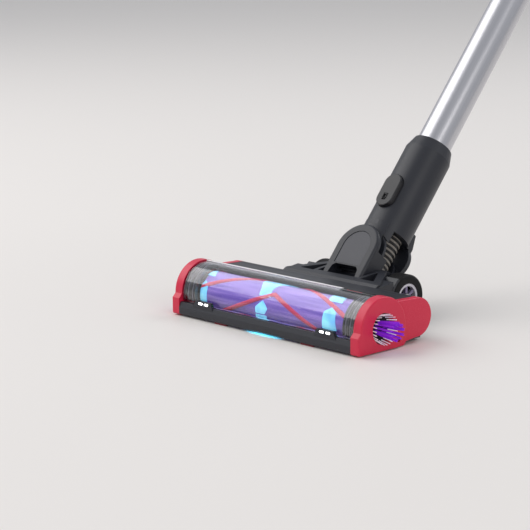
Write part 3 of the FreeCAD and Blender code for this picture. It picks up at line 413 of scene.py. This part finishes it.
def lit(name, colour, strength, edge_colour, scale=260.0, half=0.0):
    """A lit lens: bright in its pattern, with a cooler edge; it may fade out at half across."""
    material, tree, out = empty_material(name)
    place = tree.nodes.new("ShaderNodeTexCoord").outputs["Object"]
    cloud = node(tree, "TexNoise", {"Vector": place, "Scale": scale, "Detail": 1.0}).outputs[0]
    glow = blended(tree, cloud, (*colour, 1), (*edge_colour, 1))
    if half:
        across = node(tree, "SeparateXYZ", {0: place}).outputs[0]
        outwards = maths(tree, "POWER", maths(tree, "ABSOLUTE", maths(tree, "DIVIDE", across,
                                                                      half)), 2.0)
        strength = maths(tree, "MULTIPLY", maths(tree, "SUBTRACT", 1.0, outwards, clamp=True),
                         strength)
    shader = node(tree, "BsdfPrincipled", {"Base Color": glow, "Roughness": 0.2,
                                           "Emission Color": glow, "Emission Strength": strength})
    tree.links.new(shader.outputs[0], out.inputs[0])
    return material


lamp_white = lit("lamp_white", (1.0, 1.0, 1.0), 5.0, (0.85, 0.93, 1.0))
lamp_cyan = lit("lamp_cyan", (0.08, 0.75, 0.95), 8.0, (0.04, 0.50, 0.90), half=0.0245)
board_green = plastic("circuit_board", (0.01, 0.10, 0.05), roughness=0.35, depth=0.01)
finish_nodes(board_green, "led_board")
finish_nodes(lamp_cyan, "floor_light")


def cushion(centre, half, rows=14, columns=28, power=4.0):
    """A rounded block: a superellipsoid, |x/a|^p + |y/b|^p + |z/c|^p = 1, from two angles."""
    u = np.linspace(-math.pi / 2, math.pi / 2, rows)[:, None]
    v = np.linspace(0, 2 * math.pi, columns, endpoint=False)[None, :]

    def bent(value):
        return np.sign(value) * np.abs(value) ** (2 / power)

    x = half[0] * bent(np.cos(u)) * bent(np.cos(v))
    y = half[1] * bent(np.cos(u)) * bent(np.sin(v))
    z = half[2] * bent(np.sin(u)) * np.ones_like(v)
    return np.stack([x + centre[0], y + centre[1], z + centre[2]], -1)


lamp_low, lamp_high = (np.array(corner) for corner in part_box("led_lenses"))
lamp_mid = (lamp_low + lamp_high) / 2
lamps = [cushion((side * x, lamp_mid[1], lamp_mid[2]), (0.0027, 0.00098, 0.00098))
         for side in (-1, 1) for x in (0.0775, 0.0855)]
lenses = new_piece("lamp_lenses", *tubes(lamps), lamp_white, "floor_head", "lamp")
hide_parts("led_lenses")

# ---- drive end and underside -----------------------------------------------------------------
# A can motor turns a steel pinion; a toothed rubber belt drives the roll three times slower.
# Steel screws hold the sole, and red felt strips keep it off the floor.


def metal(name, colour, roughness=0.3, stretch=(1, 1, 1), scale=1500.0, depth=0.004, swing=0.2):
    """Turned, brushed or drawn metal: fine lines along the direction of the smallest stretch."""
    material, tree, out = empty_material(name)
    place = tree.nodes.new("ShaderNodeTexCoord").outputs["Object"]
    mapped = node(tree, "Mapping", {"Vector": place, "Scale": stretch}).outputs[0]
    lines = node(tree, "TexNoise", {"Vector": mapped, "Scale": scale, "Detail": 3.0}).outputs[0]
    patch = node(tree, "TexNoise", {"Vector": place, "Scale": 25.0, "Detail": 3.0}).outputs[0]
    dark = (colour[0] * 0.8, colour[1] * 0.8, colour[2] * 0.82, 1)
    tone = blended(tree, patch, (*colour, 1), dark)
    rough = maths(tree, "ADD", roughness,
                  maths(tree, "MULTIPLY", maths(tree, "SUBTRACT", lines, 0.5), swing), clamp=True)
    rounded = node(tree, "Bevel", {"Radius": 0.0003}, samples=4)
    bump = node(tree, "Bump", {"Strength": 0.6, "Distance": depth * MM, "Height": lines,
                               "Normal": rounded.outputs[0]})
    shader = node(tree, "BsdfPrincipled", {"Base Color": tone, "Metallic": 1.0,
                                           "Roughness": rough, "Normal": bump.outputs[0]})
    tree.links.new(shader.outputs[0], out.inputs[0])
    return material


def rubber(name, colour, roughness=0.6, grain=1400.0):
    return plastic(name, colour, roughness=roughness, grain=grain, depth=0.05, tone=0.6, wear=0.4)


steel = metal("turned_steel", (0.50, 0.50, 0.52), stretch=(1, 0.2, 0.2))
drawn_can = metal("drawn_can", (0.42, 0.42, 0.44), roughness=0.35, stretch=(0.05, 1, 1))
black_rubber = rubber("black_rubber", (0.012, 0.012, 0.013))
finish_nodes(steel, "wheel_axles", "pitch_pins", "head_screws", "drive_pinion",
             "steer_pins")
finish_nodes(drawn_can, "brush_motor", "fan_motor")
finish_nodes(black_rubber, "drive_belt")


def cloth(name, colour, deep, scale=2200.0, depth=0.12, sheen=0.4):
    """Pressed or tufted fibre: fine mottled tone and a soft, rough surface."""
    material, tree, out = empty_material(name)
    place = tree.nodes.new("ShaderNodeTexCoord").outputs["Object"]
    fibre = node(tree, "TexNoise", {"Vector": place, "Scale": scale, "Detail": 4.0}).outputs[0]
    broad = node(tree, "TexNoise", {"Vector": place, "Scale": 60.0, "Detail": 2.0}).outputs[0]
    tone = blended(tree, maths(tree, "MULTIPLY", fibre, broad), (*colour, 1), (*deep, 1))
    bump = node(tree, "Bump", {"Strength": 0.8, "Distance": depth * MM, "Height": fibre})
    shader = node(tree, "BsdfPrincipled", {"Base Color": tone, "Roughness": 0.9,
                                           "Sheen Weight": sheen, "Sheen Roughness": 0.4,
                                           "Normal": bump.outputs[0]})
    tree.links.new(shader.outputs[0], out.inputs[0])
    return material


red_felt = cloth("red_felt", (0.22, 0.02, 0.03), (0.08, 0.01, 0.015))
finish_nodes(red_felt, "felt_strips")

# ---- brush roll ------------------------------------------------------------------------------
# An aluminium tube wears a sleeve of short violet pile. Four rows of stiff red bristle are woven
# into it in a V, and light-coloured pads on the pile show how the roll turns.

PILE_HALF = 0.097
TWIST = 1150.0

hub_alloy = metal("hub_alloy", (0.33, 0.33, 0.36), roughness=0.35, stretch=(1, 0.1, 0.1))
finish_nodes(hub_alloy, "roll_tube")
matt_black = plastic("matt_black", (0.004, 0.004, 0.005), roughness=0.8, depth=0.02, wear=0.05)
finish_nodes(matt_black, "roll_end_hubs", "roll_bearings")


def cell_noise(u, v, across, round_cells, seed):
    """Smooth noise of (u, v) in 0..1, from random values on a grid; v closes on itself."""
    values = np.random.default_rng(seed).random((across + 1, round_cells))
    a, b = u * across, v * round_cells
    i, j = np.minimum(a.astype(int), across - 1), b.astype(int) % round_cells
    s, t = a - i, b - np.floor(b)
    s, t = s * s * (3 - 2 * s), t * t * (3 - 2 * t)
    k = (j + 1) % round_cells
    low = values[i, j] * (1 - t) + values[i, k] * t
    high = values[i + 1, j] * (1 - t) + values[i + 1, k] * t
    return low * (1 - s) + high * s


def pile_material():
    """Violet pile: fine tips, pale lavender streaks that are painted highlights, and a soft sheen.
    """
    material, tree, out = empty_material("violet_pile")
    place = tree.nodes.new("ShaderNodeTexCoord").outputs["Object"]
    tips = node(tree, "TexNoise", {"Vector": place, "Scale": 2600.0, "Detail": 3.0}).outputs[0]
    highlight_streak_place = node(tree, "Mapping", {"Vector": place, "Scale": (14.0, 260.0, 260.0)}).outputs[0]
    painted_highlight_streak = node(tree, "TexNoise", {"Vector": highlight_streak_place, "Scale": 1.0, "Detail": 3.0}).outputs[0]
    soft = ramp(tree, painted_highlight_streak, [(0.35, grey(0)), (0.72, grey(1))])
    # The pale lavender of the streaks is painted highlight; the deep violet is the pile's own
    # colour.
    tone = blended(tree, soft, (0.130, 0.050, 0.55, 1), (0.46, 0.30, 0.88, 1))
    tone = blended(tree, maths(tree, "MULTIPLY", tips, 0.45), tone, (0.09, 0.03, 0.36, 1))
    bump = node(tree, "Bump", {"Strength": 0.5, "Distance": 0.0001, "Height": tips})
    shader = node(tree, "BsdfPrincipled", {
        "Base Color": tone, "Roughness": 0.72, "Sheen Weight": 0.6, "Sheen Roughness": 0.35,
        "Sheen Tint": (0.8, 0.72, 1.0, 1), "Normal": bump.outputs[0]})
    tree.links.new(shader.outputs[0], out.inputs[0])
    return material


x = np.linspace(-PILE_HALF, PILE_HALF, 300)[:, None]
turn = np.linspace(0, 1, 220, endpoint=False)[None, :]
u = (x / PILE_HALF + 1) / 2 * np.ones_like(turn)
v = turn * np.ones_like(x)
tufts = cell_noise(u, v, 280, 200, 3) * 0.00034 + cell_noise(u, v, 90, 60, 4) * 0.00016
end = np.clip((PILE_HALF - np.abs(x)) / 0.0016, 0, 1)
radius = 0.0186 + (0.0013 + tufts) * np.sqrt(1 - (1 - end) ** 2)
pile_outer = ring_point(x, radius, 360 * turn)
pile_inner = ring_point(x[::-1], 0.01605, 360 * turn)
sleeve = np.concatenate([pile_outer, pile_inner])
pile_faces = skin(sleeve, wrap_rows=True, wrap_columns=True)
pile = new_piece("roll_pile_sleeve", sleeve, pile_faces, pile_material(), "brush_roll",
                 "roll_pile", smooth=80)
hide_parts("roll_pile")

# Each red row is a ribbon of close tufts; its top edge rises and falls with them.
red_bristle = cloth("red_bristle", (0.74, 0.035, 0.13), (0.42, 0.015, 0.07), scale=1800.0,
                    sheen=0.15)
rows = []
along = np.linspace(-PILE_HALF + 0.0005, PILE_HALF - 0.0005, 420)
comb = np.abs(np.sin(along * math.pi / 0.0017)) ** 0.6
profile = [(-6.2, 0.0182), (-6.4, 0.0202), (-5.2, 0.0206), (-2.4, 0.0208), (0, 0.0209),
           (2.4, 0.0208), (5.2, 0.0206), (6.4, 0.0202), (6.2, 0.0182)]
for quarter in range(4):
    middle = 45 + 90 * quarter + TWIST * np.abs(along)
    ragged = cell_noise(np.linspace(0, 1, 420), np.zeros(420), 230, 4, 20 + quarter)
    rise = np.array([0, 0.1, 0.7, 1, 1, 1, 0.7, 0.1, 0])[None, :]
    grid = ring_point(along[:, None],
                      np.array([r for _, r in profile])[None, :]
                      + rise * (0.00028 * comb + 0.00020 * ragged)[:, None],
                      middle[:, None] + np.array([a for a, _ in profile])[None, :])
    rows.append(grid)
ribbons = new_piece("roll_bristle_rows", *tubes(rows), red_bristle, "brush_roll", "roll_strip",
                    smooth=80)
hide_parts("roll_bristles")


def pad_material():
    """Pale cyan pile with a painted glow, bluer in broad patches."""
    material, tree, out = empty_material("cyan_pile_painted_glow")
    place = tree.nodes.new("ShaderNodeTexCoord").outputs["Object"]
    tips = node(tree, "TexNoise", {"Vector": place, "Scale": 1900.0, "Detail": 3.0}).outputs[0]
    broad = node(tree, "TexNoise", {"Vector": place, "Scale": 55.0, "Detail": 1.0}).outputs[0]
    soft = ramp(tree, broad, [(0.36, grey(0)), (0.66, grey(1))])
    tone = blended(tree, soft, (0.12, 0.48, 0.86, 1), (0.30, 0.90, 0.95, 1))
    tone = blended(tree, maths(tree, "MULTIPLY", tips, 0.25), tone, (0.10, 0.38, 0.70, 1))
    bump = node(tree, "Bump", {"Strength": 0.4, "Distance": 0.0001, "Height": tips})
    # The emission is a painted glow: the pile gives no light of its own.
    shader = node(tree, "BsdfPrincipled", {
        "Base Color": tone, "Roughness": 0.65, "Sheen Weight": 0.4,
        "Emission Color": tone, "Emission Strength": 0.55, "Normal": bump.outputs[0]})
    tree.links.new(shader.outputs[0], out.inputs[0])
    return material


def pad(stations):
    """A pad on the pile between two outlines; stations are (degrees, left mm, right mm)."""
    angles = np.array([a for a, _, _ in stations], float)
    fine = np.linspace(angles[0], angles[-1], 40) if angles[0] < angles[-1] else np.linspace(
        angles[-1], angles[0], 40)
    order = np.argsort(angles)
    left = np.interp(fine, angles[order], np.array([b for _, b, _ in stations])[order]) * MM
    right = np.interp(fine, angles[order], np.array([c for _, _, c in stations])[order]) * MM
    share = np.linspace(0, 1, 16)
    crown = 0.02066 + 0.00022 * np.sqrt(np.clip(1 - (2 * share - 1) ** 4, 0, 1))
    top = ring_point(left[:, None] + (right - left)[:, None] * share[None, :],
                     crown[None, :], fine[:, None])
    base = ring_point(left[:, None] + (right - left)[:, None] * share[None, ::-1],
                      0.0203, fine[:, None])
    return np.concatenate([top, base], axis=1)


pads = [pad(stations) for stations in (
    [(138, -94.2, -93.8), (150, -97, -88), (194, -97, -88)],
    [(90, -95, -93), (99, -97, -91), (119.5, -97, -87)],
    [(80, -26, 14), (84, -28, 9), (90, -28, 0), (100, -26, -4), (112, -23, -5), (125, -20, -5.5),
     (146, -18, -3)],
    [(158, -11.2, -10.8), (170, -17, -6), (178, -20, -4), (193, -20, -8)],
    [(197, -20, -6), (230, -24, -7)],
    [(88, 62, 79), (119, 66, 83)],
    [(137, 75.8, 76.2), (148, 69.5, 83), (153, 68, 83), (194, 68, 86)])]
light_pads = new_piece("roll_light_pads", *tubes(pads), pad_material(), "brush_roll",
                       "roll_light", smooth=60)
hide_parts("roll_pads")

# ---- edge brushes ----------------------------------------------------------------------------
# Nylon bristles stand out through a round opening in each end cap and turn with the roll: a
# flared ring of short white clumps round thick violet tufts that sweep along skirting boards.


def strands(root, tip, low, high, curl, sides=5, rows=4):
    """A tapering hair from root to tip; curl bends its middle aside."""
    root, tip, curl = (np.asarray(p, float) for p in (root, tip, curl))
    t = np.linspace(0, 1, rows)[:, None]
    line = root + (tip - root) * t + curl * np.sin(math.pi * t)
    along = (tip - root) / np.linalg.norm(tip - root)
    side = np.cross(along, (0.0, 0.31, 0.95))
    side /= np.linalg.norm(side)
    other = np.cross(along, side)
    turn = np.linspace(0, 2 * math.pi, sides, endpoint=False)
    ring = np.cos(turn)[:, None] * side + np.sin(turn)[:, None] * other
    thick = (low + (high - low) * t)[:, :, None]
    return line[:, None, :] + thick * ring[None, :, :]


chance = np.random.default_rng(11)
white_hairs, violet_hairs = [], []
for side in (-1, 1):
    for clump in range(24):
        middle = 360 * clump / 24
        for hair in range(5):
            angle = middle + chance.uniform(-1.4, 1.4)
            inset = chance.uniform(-0.0004, 0.0004)
            root = ring_point(side * 0.1190, 0.0118 + inset, angle)
            tip = ring_point(side * (0.1288 + inset), 0.0141 + inset * 0.6, middle
                             + chance.uniform(-1.3, 1.3))
            white_hairs.append(strands(root, tip, 0.00032, 0.00026, (0, 0, 0), rows=3))
    for clump in range(11):
        middle = 360 * clump / 11 + 6
        for hair in range(9):
            angle, out_by = middle + chance.uniform(-10, 10), chance.uniform(-1, 1)
            root = ring_point(side * 0.1191, 0.0055 + 0.0010 * out_by, angle)
            tip = ring_point(side * (0.1426 - 0.0018 * chance.random()),
                             0.0079 + 0.0014 * out_by, middle + chance.uniform(-7, 7))
            curl = np.array([0, *chance.uniform(-0.0004, 0.0004, 2)])
            violet_hairs.append(strands(root, tip, 0.00042, 0.00034, curl, rows=5))


def bristle_material(name, colour, deep, glow=0.0):
    """Nylon filament: slightly glossy, darker in fine random patches; glow is a painted glow."""
    material, tree, out = empty_material(name)
    place = tree.nodes.new("ShaderNodeTexCoord").outputs["Object"]
    hair = node(tree, "TexNoise", {"Vector": place, "Scale": 900.0, "Detail": 2.0}).outputs[0]
    tone = blended(tree, maths(tree, "MULTIPLY", hair, 0.6), (*colour, 1), (*deep, 1))
    shader = node(tree, "BsdfPrincipled", {
        "Base Color": tone, "Roughness": 0.38,
        "Emission Color": tone, "Emission Strength": glow})
    tree.links.new(shader.outputs[0], out.inputs[0])
    return material


# The white and violet hairs get a weak painted glow; nylon gives no light of its own.
white_nylon = bristle_material("white_nylon", (0.95, 0.86, 0.90), (0.70, 0.58, 0.68), 0.25)
violet_nylon = bristle_material("violet_nylon", (0.34, 0.03, 0.80), (0.13, 0.005, 0.36), 0.22)
white_ring = new_piece("edge_clumps_white", *tubes(white_hairs), white_nylon, "brush_roll",
                       "bristle_white", smooth=80)
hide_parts("edge_bristles_white")
violet_tufts = new_piece("edge_tufts_violet", *tubes(violet_hairs), violet_nylon, "brush_roll",
                         "bristle_purple", smooth=80)
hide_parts("edge_bristles_purple")

# ---- wheels ----------------------------------------------------------------------------------
# Soft grooved tyres on six-spoked rims, which turn freely on steel axles. The rims are moulded
# in lilac-grey plastic with a bright painted ring.


def tyre_material():
    material, tree, out = empty_material("soft_tyre")
    place = tree.nodes.new("ShaderNodeTexCoord").outputs["Object"]
    groove = node(tree, "TexWave", {"Vector": place, "Scale": 105.0, "Distortion": 0.0},
                  bands_direction="X", wave_profile="SIN").outputs["Fac"]
    cut = ramp(tree, groove, [(0.08, grey(0)), (0.22, grey(1))])
    grain = node(tree, "TexNoise", {"Vector": place, "Scale": 900.0, "Detail": 4.0}).outputs[0]
    tone = blended(tree, grain, (0.003, 0.003, 0.004, 1), (0.010, 0.010, 0.011, 1))
    height = maths(tree, "ADD", cut, maths(tree, "MULTIPLY", grain, 0.15))
    bump = node(tree, "Bump", {"Strength": 0.8, "Distance": 0.0004, "Height": height})
    shader = node(tree, "BsdfPrincipled", {"Base Color": tone, "Roughness": 0.55,
                                           "Specular IOR Level": 0.2, "Normal": bump.outputs[0]})
    tree.links.new(shader.outputs[0], out.inputs[0])
    return material


def rim_material():
    """Bright ring outside 11.2 mm from the axle; lilac spokes stand before a black web."""
    material, tree, out = empty_material("wheel_rim_paint")
    place = tree.nodes.new("ShaderNodeTexCoord").outputs["Object"]
    from_axle = node(tree, "VectorMath", {0: place, 1: (0.0, 0.083, 0.0225)},
                     operation="SUBTRACT").outputs[0]
    flat = node(tree, "VectorMath", {0: from_axle, 1: (0.0, 1.0, 1.0)},
                operation="MULTIPLY").outputs[0]
    reach = node(tree, "VectorMath", {0: flat}, operation="LENGTH").outputs["Value"]
    ring = maths(tree, "GREATER_THAN", reach, 0.0112)
    across = node(tree, "SeparateXYZ", {0: place}).outputs[0]
    proud = maths(tree, "GREATER_THAN", maths(tree, "ABSOLUTE", across), 0.0525)
    flake = node(tree, "TexNoise", {"Vector": place, "Scale": 1600.0, "Detail": 2.0}).outputs[0]
    spoke = blended(tree, flake, (0.19, 0.16, 0.27, 1), (0.27, 0.23, 0.36, 1))
    bright = blended(tree, flake, (0.55, 0.53, 0.60, 1), (0.70, 0.68, 0.74, 1))
    tone = blended(tree, ring, spoke, bright)
    tone = blended(tree, proud, (0.006, 0.006, 0.008, 1), tone)
    rounded = node(tree, "Bevel", {"Radius": 0.0005}, samples=4)
    rough = maths(tree, "ADD", 0.28, maths(tree, "MULTIPLY", flake, 0.15))
    shader = node(tree, "BsdfPrincipled", {"Base Color": tone, "Metallic": 0.35,
                                           "Roughness": rough, "Normal": rounded.outputs[0]})
    tree.links.new(shader.outputs[0], out.inputs[0])
    return material


finish_nodes(tyre_material(), "tyre_right", "tyre_left")
finish_nodes(rim_material(), "wheel_rim_right", "wheel_rim_left")

# ---- neck: yoke, hose and socket -------------------------------------------------------------
# The yoke tips on two pins at the bridge; its shield carries a satin inlay. A ribbed hose runs
# behind it into the socket that takes the wand, and a rocking button releases the wand.

TILT = math.radians(50)


def on_wand(x, y, s):
    """A point in the wand's own frame, in millimetres, put where the wand leans at rest."""
    x, y, s = np.broadcast_arrays(np.asarray(x, float), y, s)
    return np.stack([x, 75 + s * math.cos(TILT) + y * math.sin(TILT),
                     24 + s * math.sin(TILT) - y * math.cos(TILT)], -1) * MM


def lathe(profile, centre_y, count=72, centre_x=0.0):
    """A closed ring of (radius, place along the wand) turned about a line along the wand."""
    turn = np.linspace(0, 2 * math.pi, count, endpoint=False)[None, :]
    r = np.array([a for a, _ in profile])[:, None]
    s = np.array([b for _, b in profile])[:, None]
    return on_wand(centre_x + r * np.cos(turn), centre_y + r * np.sin(turn), s + 0 * turn)


button_black = plastic("button_black", (0.010, 0.010, 0.013), roughness=0.4, tone=0.3, wear=0.5)
finish_nodes(charcoal, "neck_yoke", "neck_socket")
finish_nodes(button_black, "socket_button")
finish_nodes(panel_grey, "neck_shield_panel")


def hose_material():
    """Ribbed rubber: pale beige crests, a painted highlight, over black valleys, told apart by the
    mesh's crest.
    """
    material, tree, out = empty_material("ribbed_rubber")
    place = tree.nodes.new("ShaderNodeTexCoord").outputs["Object"]
    crest = node(tree, "Attribute", attribute_name="crest").outputs["Fac"]
    high = ramp(tree, crest, [(0.45, grey(0)), (0.80, grey(1))])
    grain = node(tree, "TexNoise", {"Vector": place, "Scale": 900.0, "Detail": 3.0}).outputs[0]
    # The beige on the crests is a painted highlight; the valleys keep the rubber's black.
    crest_highlight_paint = blended(tree, grain, (0.34, 0.31, 0.27, 1), (0.20, 0.185, 0.17, 1))
    tone = blended(tree, high, (0.006, 0.006, 0.007, 1), crest_highlight_paint)
    bump = node(tree, "Bump", {"Strength": 0.5, "Distance": 0.00005, "Height": grain})
    shader = node(tree, "BsdfPrincipled", {"Base Color": tone, "Roughness": 0.5,
                                           "Normal": bump.outputs[0]})
    tree.links.new(shader.outputs[0], out.inputs[0])
    return material


pitch, hose_low, hose_high = 5.0, 8.0, 72.0
outer = [(14.75 + 0.55 * math.sin(2 * math.pi * s / pitch), s)
         for s in np.linspace(hose_low, hose_high, 210)]
inner = [(r - 1.1, s) for r, s in reversed(outer)]
hose_grid = lathe(outer + inner, 3.0, count=60)
hose_skin = new_piece("suction_hose", hose_grid, skin(hose_grid, True, True), hose_material(),
                      None, "rubber", smooth=80)
places = np.empty(len(hose_skin.data.vertices) * 3)
hose_skin.data.vertices.foreach_get("co", places)
places = places.reshape(-1, 3) / MM
along_hose = (places[:, 1] - 75) * math.cos(TILT) + (places[:, 2] - 24) * math.sin(TILT)
crest = hose_skin.data.attributes.new("crest", "FLOAT", "POINT")
crest.data.foreach_set("value", 0.5 + 0.5 * np.sin(2 * math.pi * along_hose / pitch))
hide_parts("hose_lower", "hose_upper")
tuple(on_wand(0, 3, 22))
tuple(on_wand(0, 3, 42))
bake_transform(hose_skin)

# A raised square frame on the lower half of the release button shows where to press.
mark = []
for a, b, c, d in ((-2.6, 2.6, 88.2, 89.0), (-2.6, 2.6, 93.4, 94.2),
                   (-2.6, -1.8, 89.0, 93.4), (1.8, 2.6, 89.0, 93.4)):
    mark.append(np.array([on_wand(p, q, s) for q in (-27.7, -27.2)
                          for p, s in ((a, c), (b, c), (b, d), (a, d))]).reshape(2, 4, 3))
mark_black = plastic("mark_black", (0.004, 0.004, 0.005), roughness=0.75, depth=0.01, wear=0.0)
new_piece("button_press_mark", *tubes(mark), mark_black, "socket_button", "charcoal_plastic")

# ---- wand ------------------------------------------------------------------------------------
# A drawn aluminium tube, brushed along its length and clear-anodised, ends in a moulded collar
# that plugs into the main unit. A coral button on the collar releases it.


def wand_metal():
    """Brushed aluminium: hair lines that run along the leaning tube."""
    material, tree, out = empty_material("brushed_aluminium")
    place = tree.nodes.new("ShaderNodeTexCoord").outputs["Object"]
    upright = node(tree, "Mapping", {"Vector": place, "Rotation": (math.pi / 2 - TILT, 0, 0)})
    stretched = node(tree, "Mapping", {"Vector": upright.outputs[0], "Scale": (1600, 1600, 12)})
    lines = node(tree, "TexNoise", {"Vector": stretched.outputs[0], "Scale": 1.0,
                                    "Detail": 3.0}).outputs[0]
    broad = node(tree, "TexNoise", {"Vector": place, "Scale": 9.0, "Detail": 2.0}).outputs[0]
    tone = blended(tree, lines, (0.50, 0.50, 0.53, 1), (0.66, 0.66, 0.69, 1))
    tone = blended(tree, maths(tree, "MULTIPLY", broad, 0.3), tone, (0.40, 0.40, 0.43, 1))
    rough = maths(tree, "ADD", 0.24, maths(tree, "MULTIPLY", lines, 0.14))
    bump = node(tree, "Bump", {"Strength": 0.5, "Distance": 0.00001, "Height": lines})
    shader = node(tree, "BsdfPrincipled", {
        "Base Color": tone, "Metallic": 1.0, "Roughness": rough, "Coat Weight": 0.2,
        "Coat Roughness": 0.15, "Normal": bump.outputs[0]})
    tree.links.new(shader.outputs[0], out.inputs[0])
    return material


finish_nodes(wand_metal(), "wand_tube")
finish_nodes(charcoal, "wand_collar")
finish_nodes(coral, "wand_button")

# ---- main unit: dust cup and cyclone ---------------------------------------------------------
# A smoke-tinted clear cup holds the cyclone's perforated shroud; its lid swings down on a pin
# when the coral latch at the right is pushed.

smoke = clear_plastic("smoke_polycarbonate", (0.62, 0.60, 0.68, 1), roughness=0.05)
finish_nodes(smoke, "dust_cup", "cup_lid")
finish_nodes(coral, "lid_latch")
finish_nodes(charcoal, "inlet_nozzle")


def shroud_material():
    """Dark satin plastic with a fine grid of round holes between the slots."""
    material, tree, out = empty_material("perforated_shroud")
    place = tree.nodes.new("ShaderNodeTexCoord").outputs["Object"]
    upright = node(tree, "Mapping", {"Vector": place, "Rotation": (math.pi / 2 - TILT, 0, 0)})
    holes = node(tree, "TexVoronoi", {"Vector": upright.outputs[0], "Scale": 520.0,
                                      "Randomness": 0.0}).outputs["Distance"]
    open_hole = ramp(tree, holes, [(0.26, grey(1)), (0.32, grey(0))])
    grain = node(tree, "TexNoise", {"Vector": place, "Scale": 1500.0, "Detail": 2.0}).outputs[0]
    tone = blended(tree, grain, (0.075, 0.075, 0.085, 1), (0.11, 0.11, 0.12, 1))
    tone = blended(tree, open_hole, tone, (0.006, 0.006, 0.007, 1))
    height = maths(tree, "SUBTRACT", maths(tree, "MULTIPLY", grain, 0.1), open_hole)
    bump = node(tree, "Bump", {"Strength": 0.7, "Distance": 0.0004, "Height": height})
    shader = node(tree, "BsdfPrincipled", {"Base Color": tone, "Roughness": 0.4,
                                           "Metallic": 0.3, "Normal": bump.outputs[0]})
    tree.links.new(shader.outputs[0], out.inputs[0])
    return material


finish_nodes(shroud_material(), "cyclone_shroud")
finish_nodes(panel_grey, "cyclone_crown")

# ---- main unit: motor, filter and exhaust ----------------------------------------------------
# The fan motor sits in a charcoal barrel behind the cup. Behind it a pleated ring filter is
# held by a coral cap that turns off by thirty degrees; a screen and one button face the user.

finish_nodes(charcoal, "motor_housing", "filter_deck")
finish_nodes(hub_alloy, "impeller")
finish_nodes(coral, "exhaust_cap")
finish_nodes(panel_grey, "mode_button")
filter_paper = cloth("filter_paper", (0.78, 0.77, 0.72), (0.55, 0.53, 0.48), scale=1400.0,
                     sheen=0.1)
finish_nodes(filter_paper, "pleated_filter")


def screen_material():
    """Black glass, with faint smears in its gloss."""
    material, tree, out = empty_material("screen_glass")
    place = tree.nodes.new("ShaderNodeTexCoord").outputs["Object"]
    smear = node(tree, "TexNoise", {"Vector": place, "Scale": 120.0, "Detail": 4.0}).outputs[0]
    tone = blended(tree, smear, (0.004, 0.004, 0.006, 1), (0.010, 0.010, 0.014, 1))
    rough = maths(tree, "ADD", 0.05, maths(tree, "MULTIPLY", smear, 0.12))
    shader = node(tree, "BsdfPrincipled", {"Base Color": tone, "Roughness": rough,
                                           "Coat Weight": 1.0, "Coat Roughness": 0.04})
    tree.links.new(shader.outputs[0], out.inputs[0])
    return material


finish_nodes(screen_material(), "display_lens")

# A battery gauge of lit segments runs most of the way round the screen.
segments = []
for segment in range(10):
    sweep = np.radians(np.linspace(-60 + 28.5 * segment, -36 + 28.5 * segment, 9))[:, None]
    reach = np.array([7.3, 8.5, 8.5, 7.3])[None, :]
    height = np.array([1029.0, 1029.0, 1029.12, 1029.12])[None, :]
    segments.append(on_wand(reach * np.cos(sweep), 32 + reach * np.sin(sweep),
                            height + 0 * sweep))
gauge_light = lit("gauge_light", (0.75, 0.92, 1.0), 2.2, (0.45, 0.75, 1.0))
new_piece("display_gauge", *tubes(segments), gauge_light, "main_unit", "lamp")

# ---- main unit: grip, trigger and battery ----------------------------------------------------
# A pistol grip hangs behind the motor, with a ribbed rubber inlay under the palm. The trigger is
# sprung. The battery slides on under the grip and snaps in with a side latch.

finish_nodes(charcoal, "handle_grip", "battery_pack")
finish_nodes(coral, "trigger", "battery_latch")
grip_rubber = rubber("grip_rubber", (0.016, 0.016, 0.018), roughness=0.7)
inlay_y = np.linspace(98.3, 126.5, 142)
inlay_top = 999.25 - 0.2875 * (inlay_y - 80) + 0.35 * np.clip(
    2 * np.sin(2 * math.pi * inlay_y / 3.0), -1, 1)
half_across = np.array([-5.8, 5.8, 5.8, 5.2, -5.2, -5.8])[None, :]
stands = np.array([0.0, 0.0, 1.0, 1.0, 1.0, 1.0])[None, :]
bevel = np.array([0.0, 0.0, -0.35, 0.0, 0.0, -0.35])[None, :]
inlay = on_wand(half_across, inlay_y[:, None],
                984.8 + stands * (inlay_top[:, None] - 984.8) + bevel)
new_piece("grip_inlay", *tubes([inlay]), grip_rubber, "main_unit", "rubber")

# The trigger's return spring: a coil of steel wire that shortens as the trigger is pulled.
wound = np.linspace(0, 1, 260)[:, None]
coil_turn = 2 * math.pi * 5.667 * wound
round_wire = np.linspace(0, 2 * math.pi, 8, endpoint=False)[None, :]
coil_reach = 2.2 + 0.35 * np.cos(round_wire)
coil = on_wand(coil_reach * np.cos(coil_turn), 108 + coil_reach * np.sin(coil_turn),
               959.9 + 13.6 * wound + 0.35 * np.sin(round_wire))
spring = new_piece("return_spring", *tubes([coil]), steel, "main_unit", "steel", smooth=80)
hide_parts("trigger_spring")
tuple(on_wand(0, 108, 973.9))
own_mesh(spring)
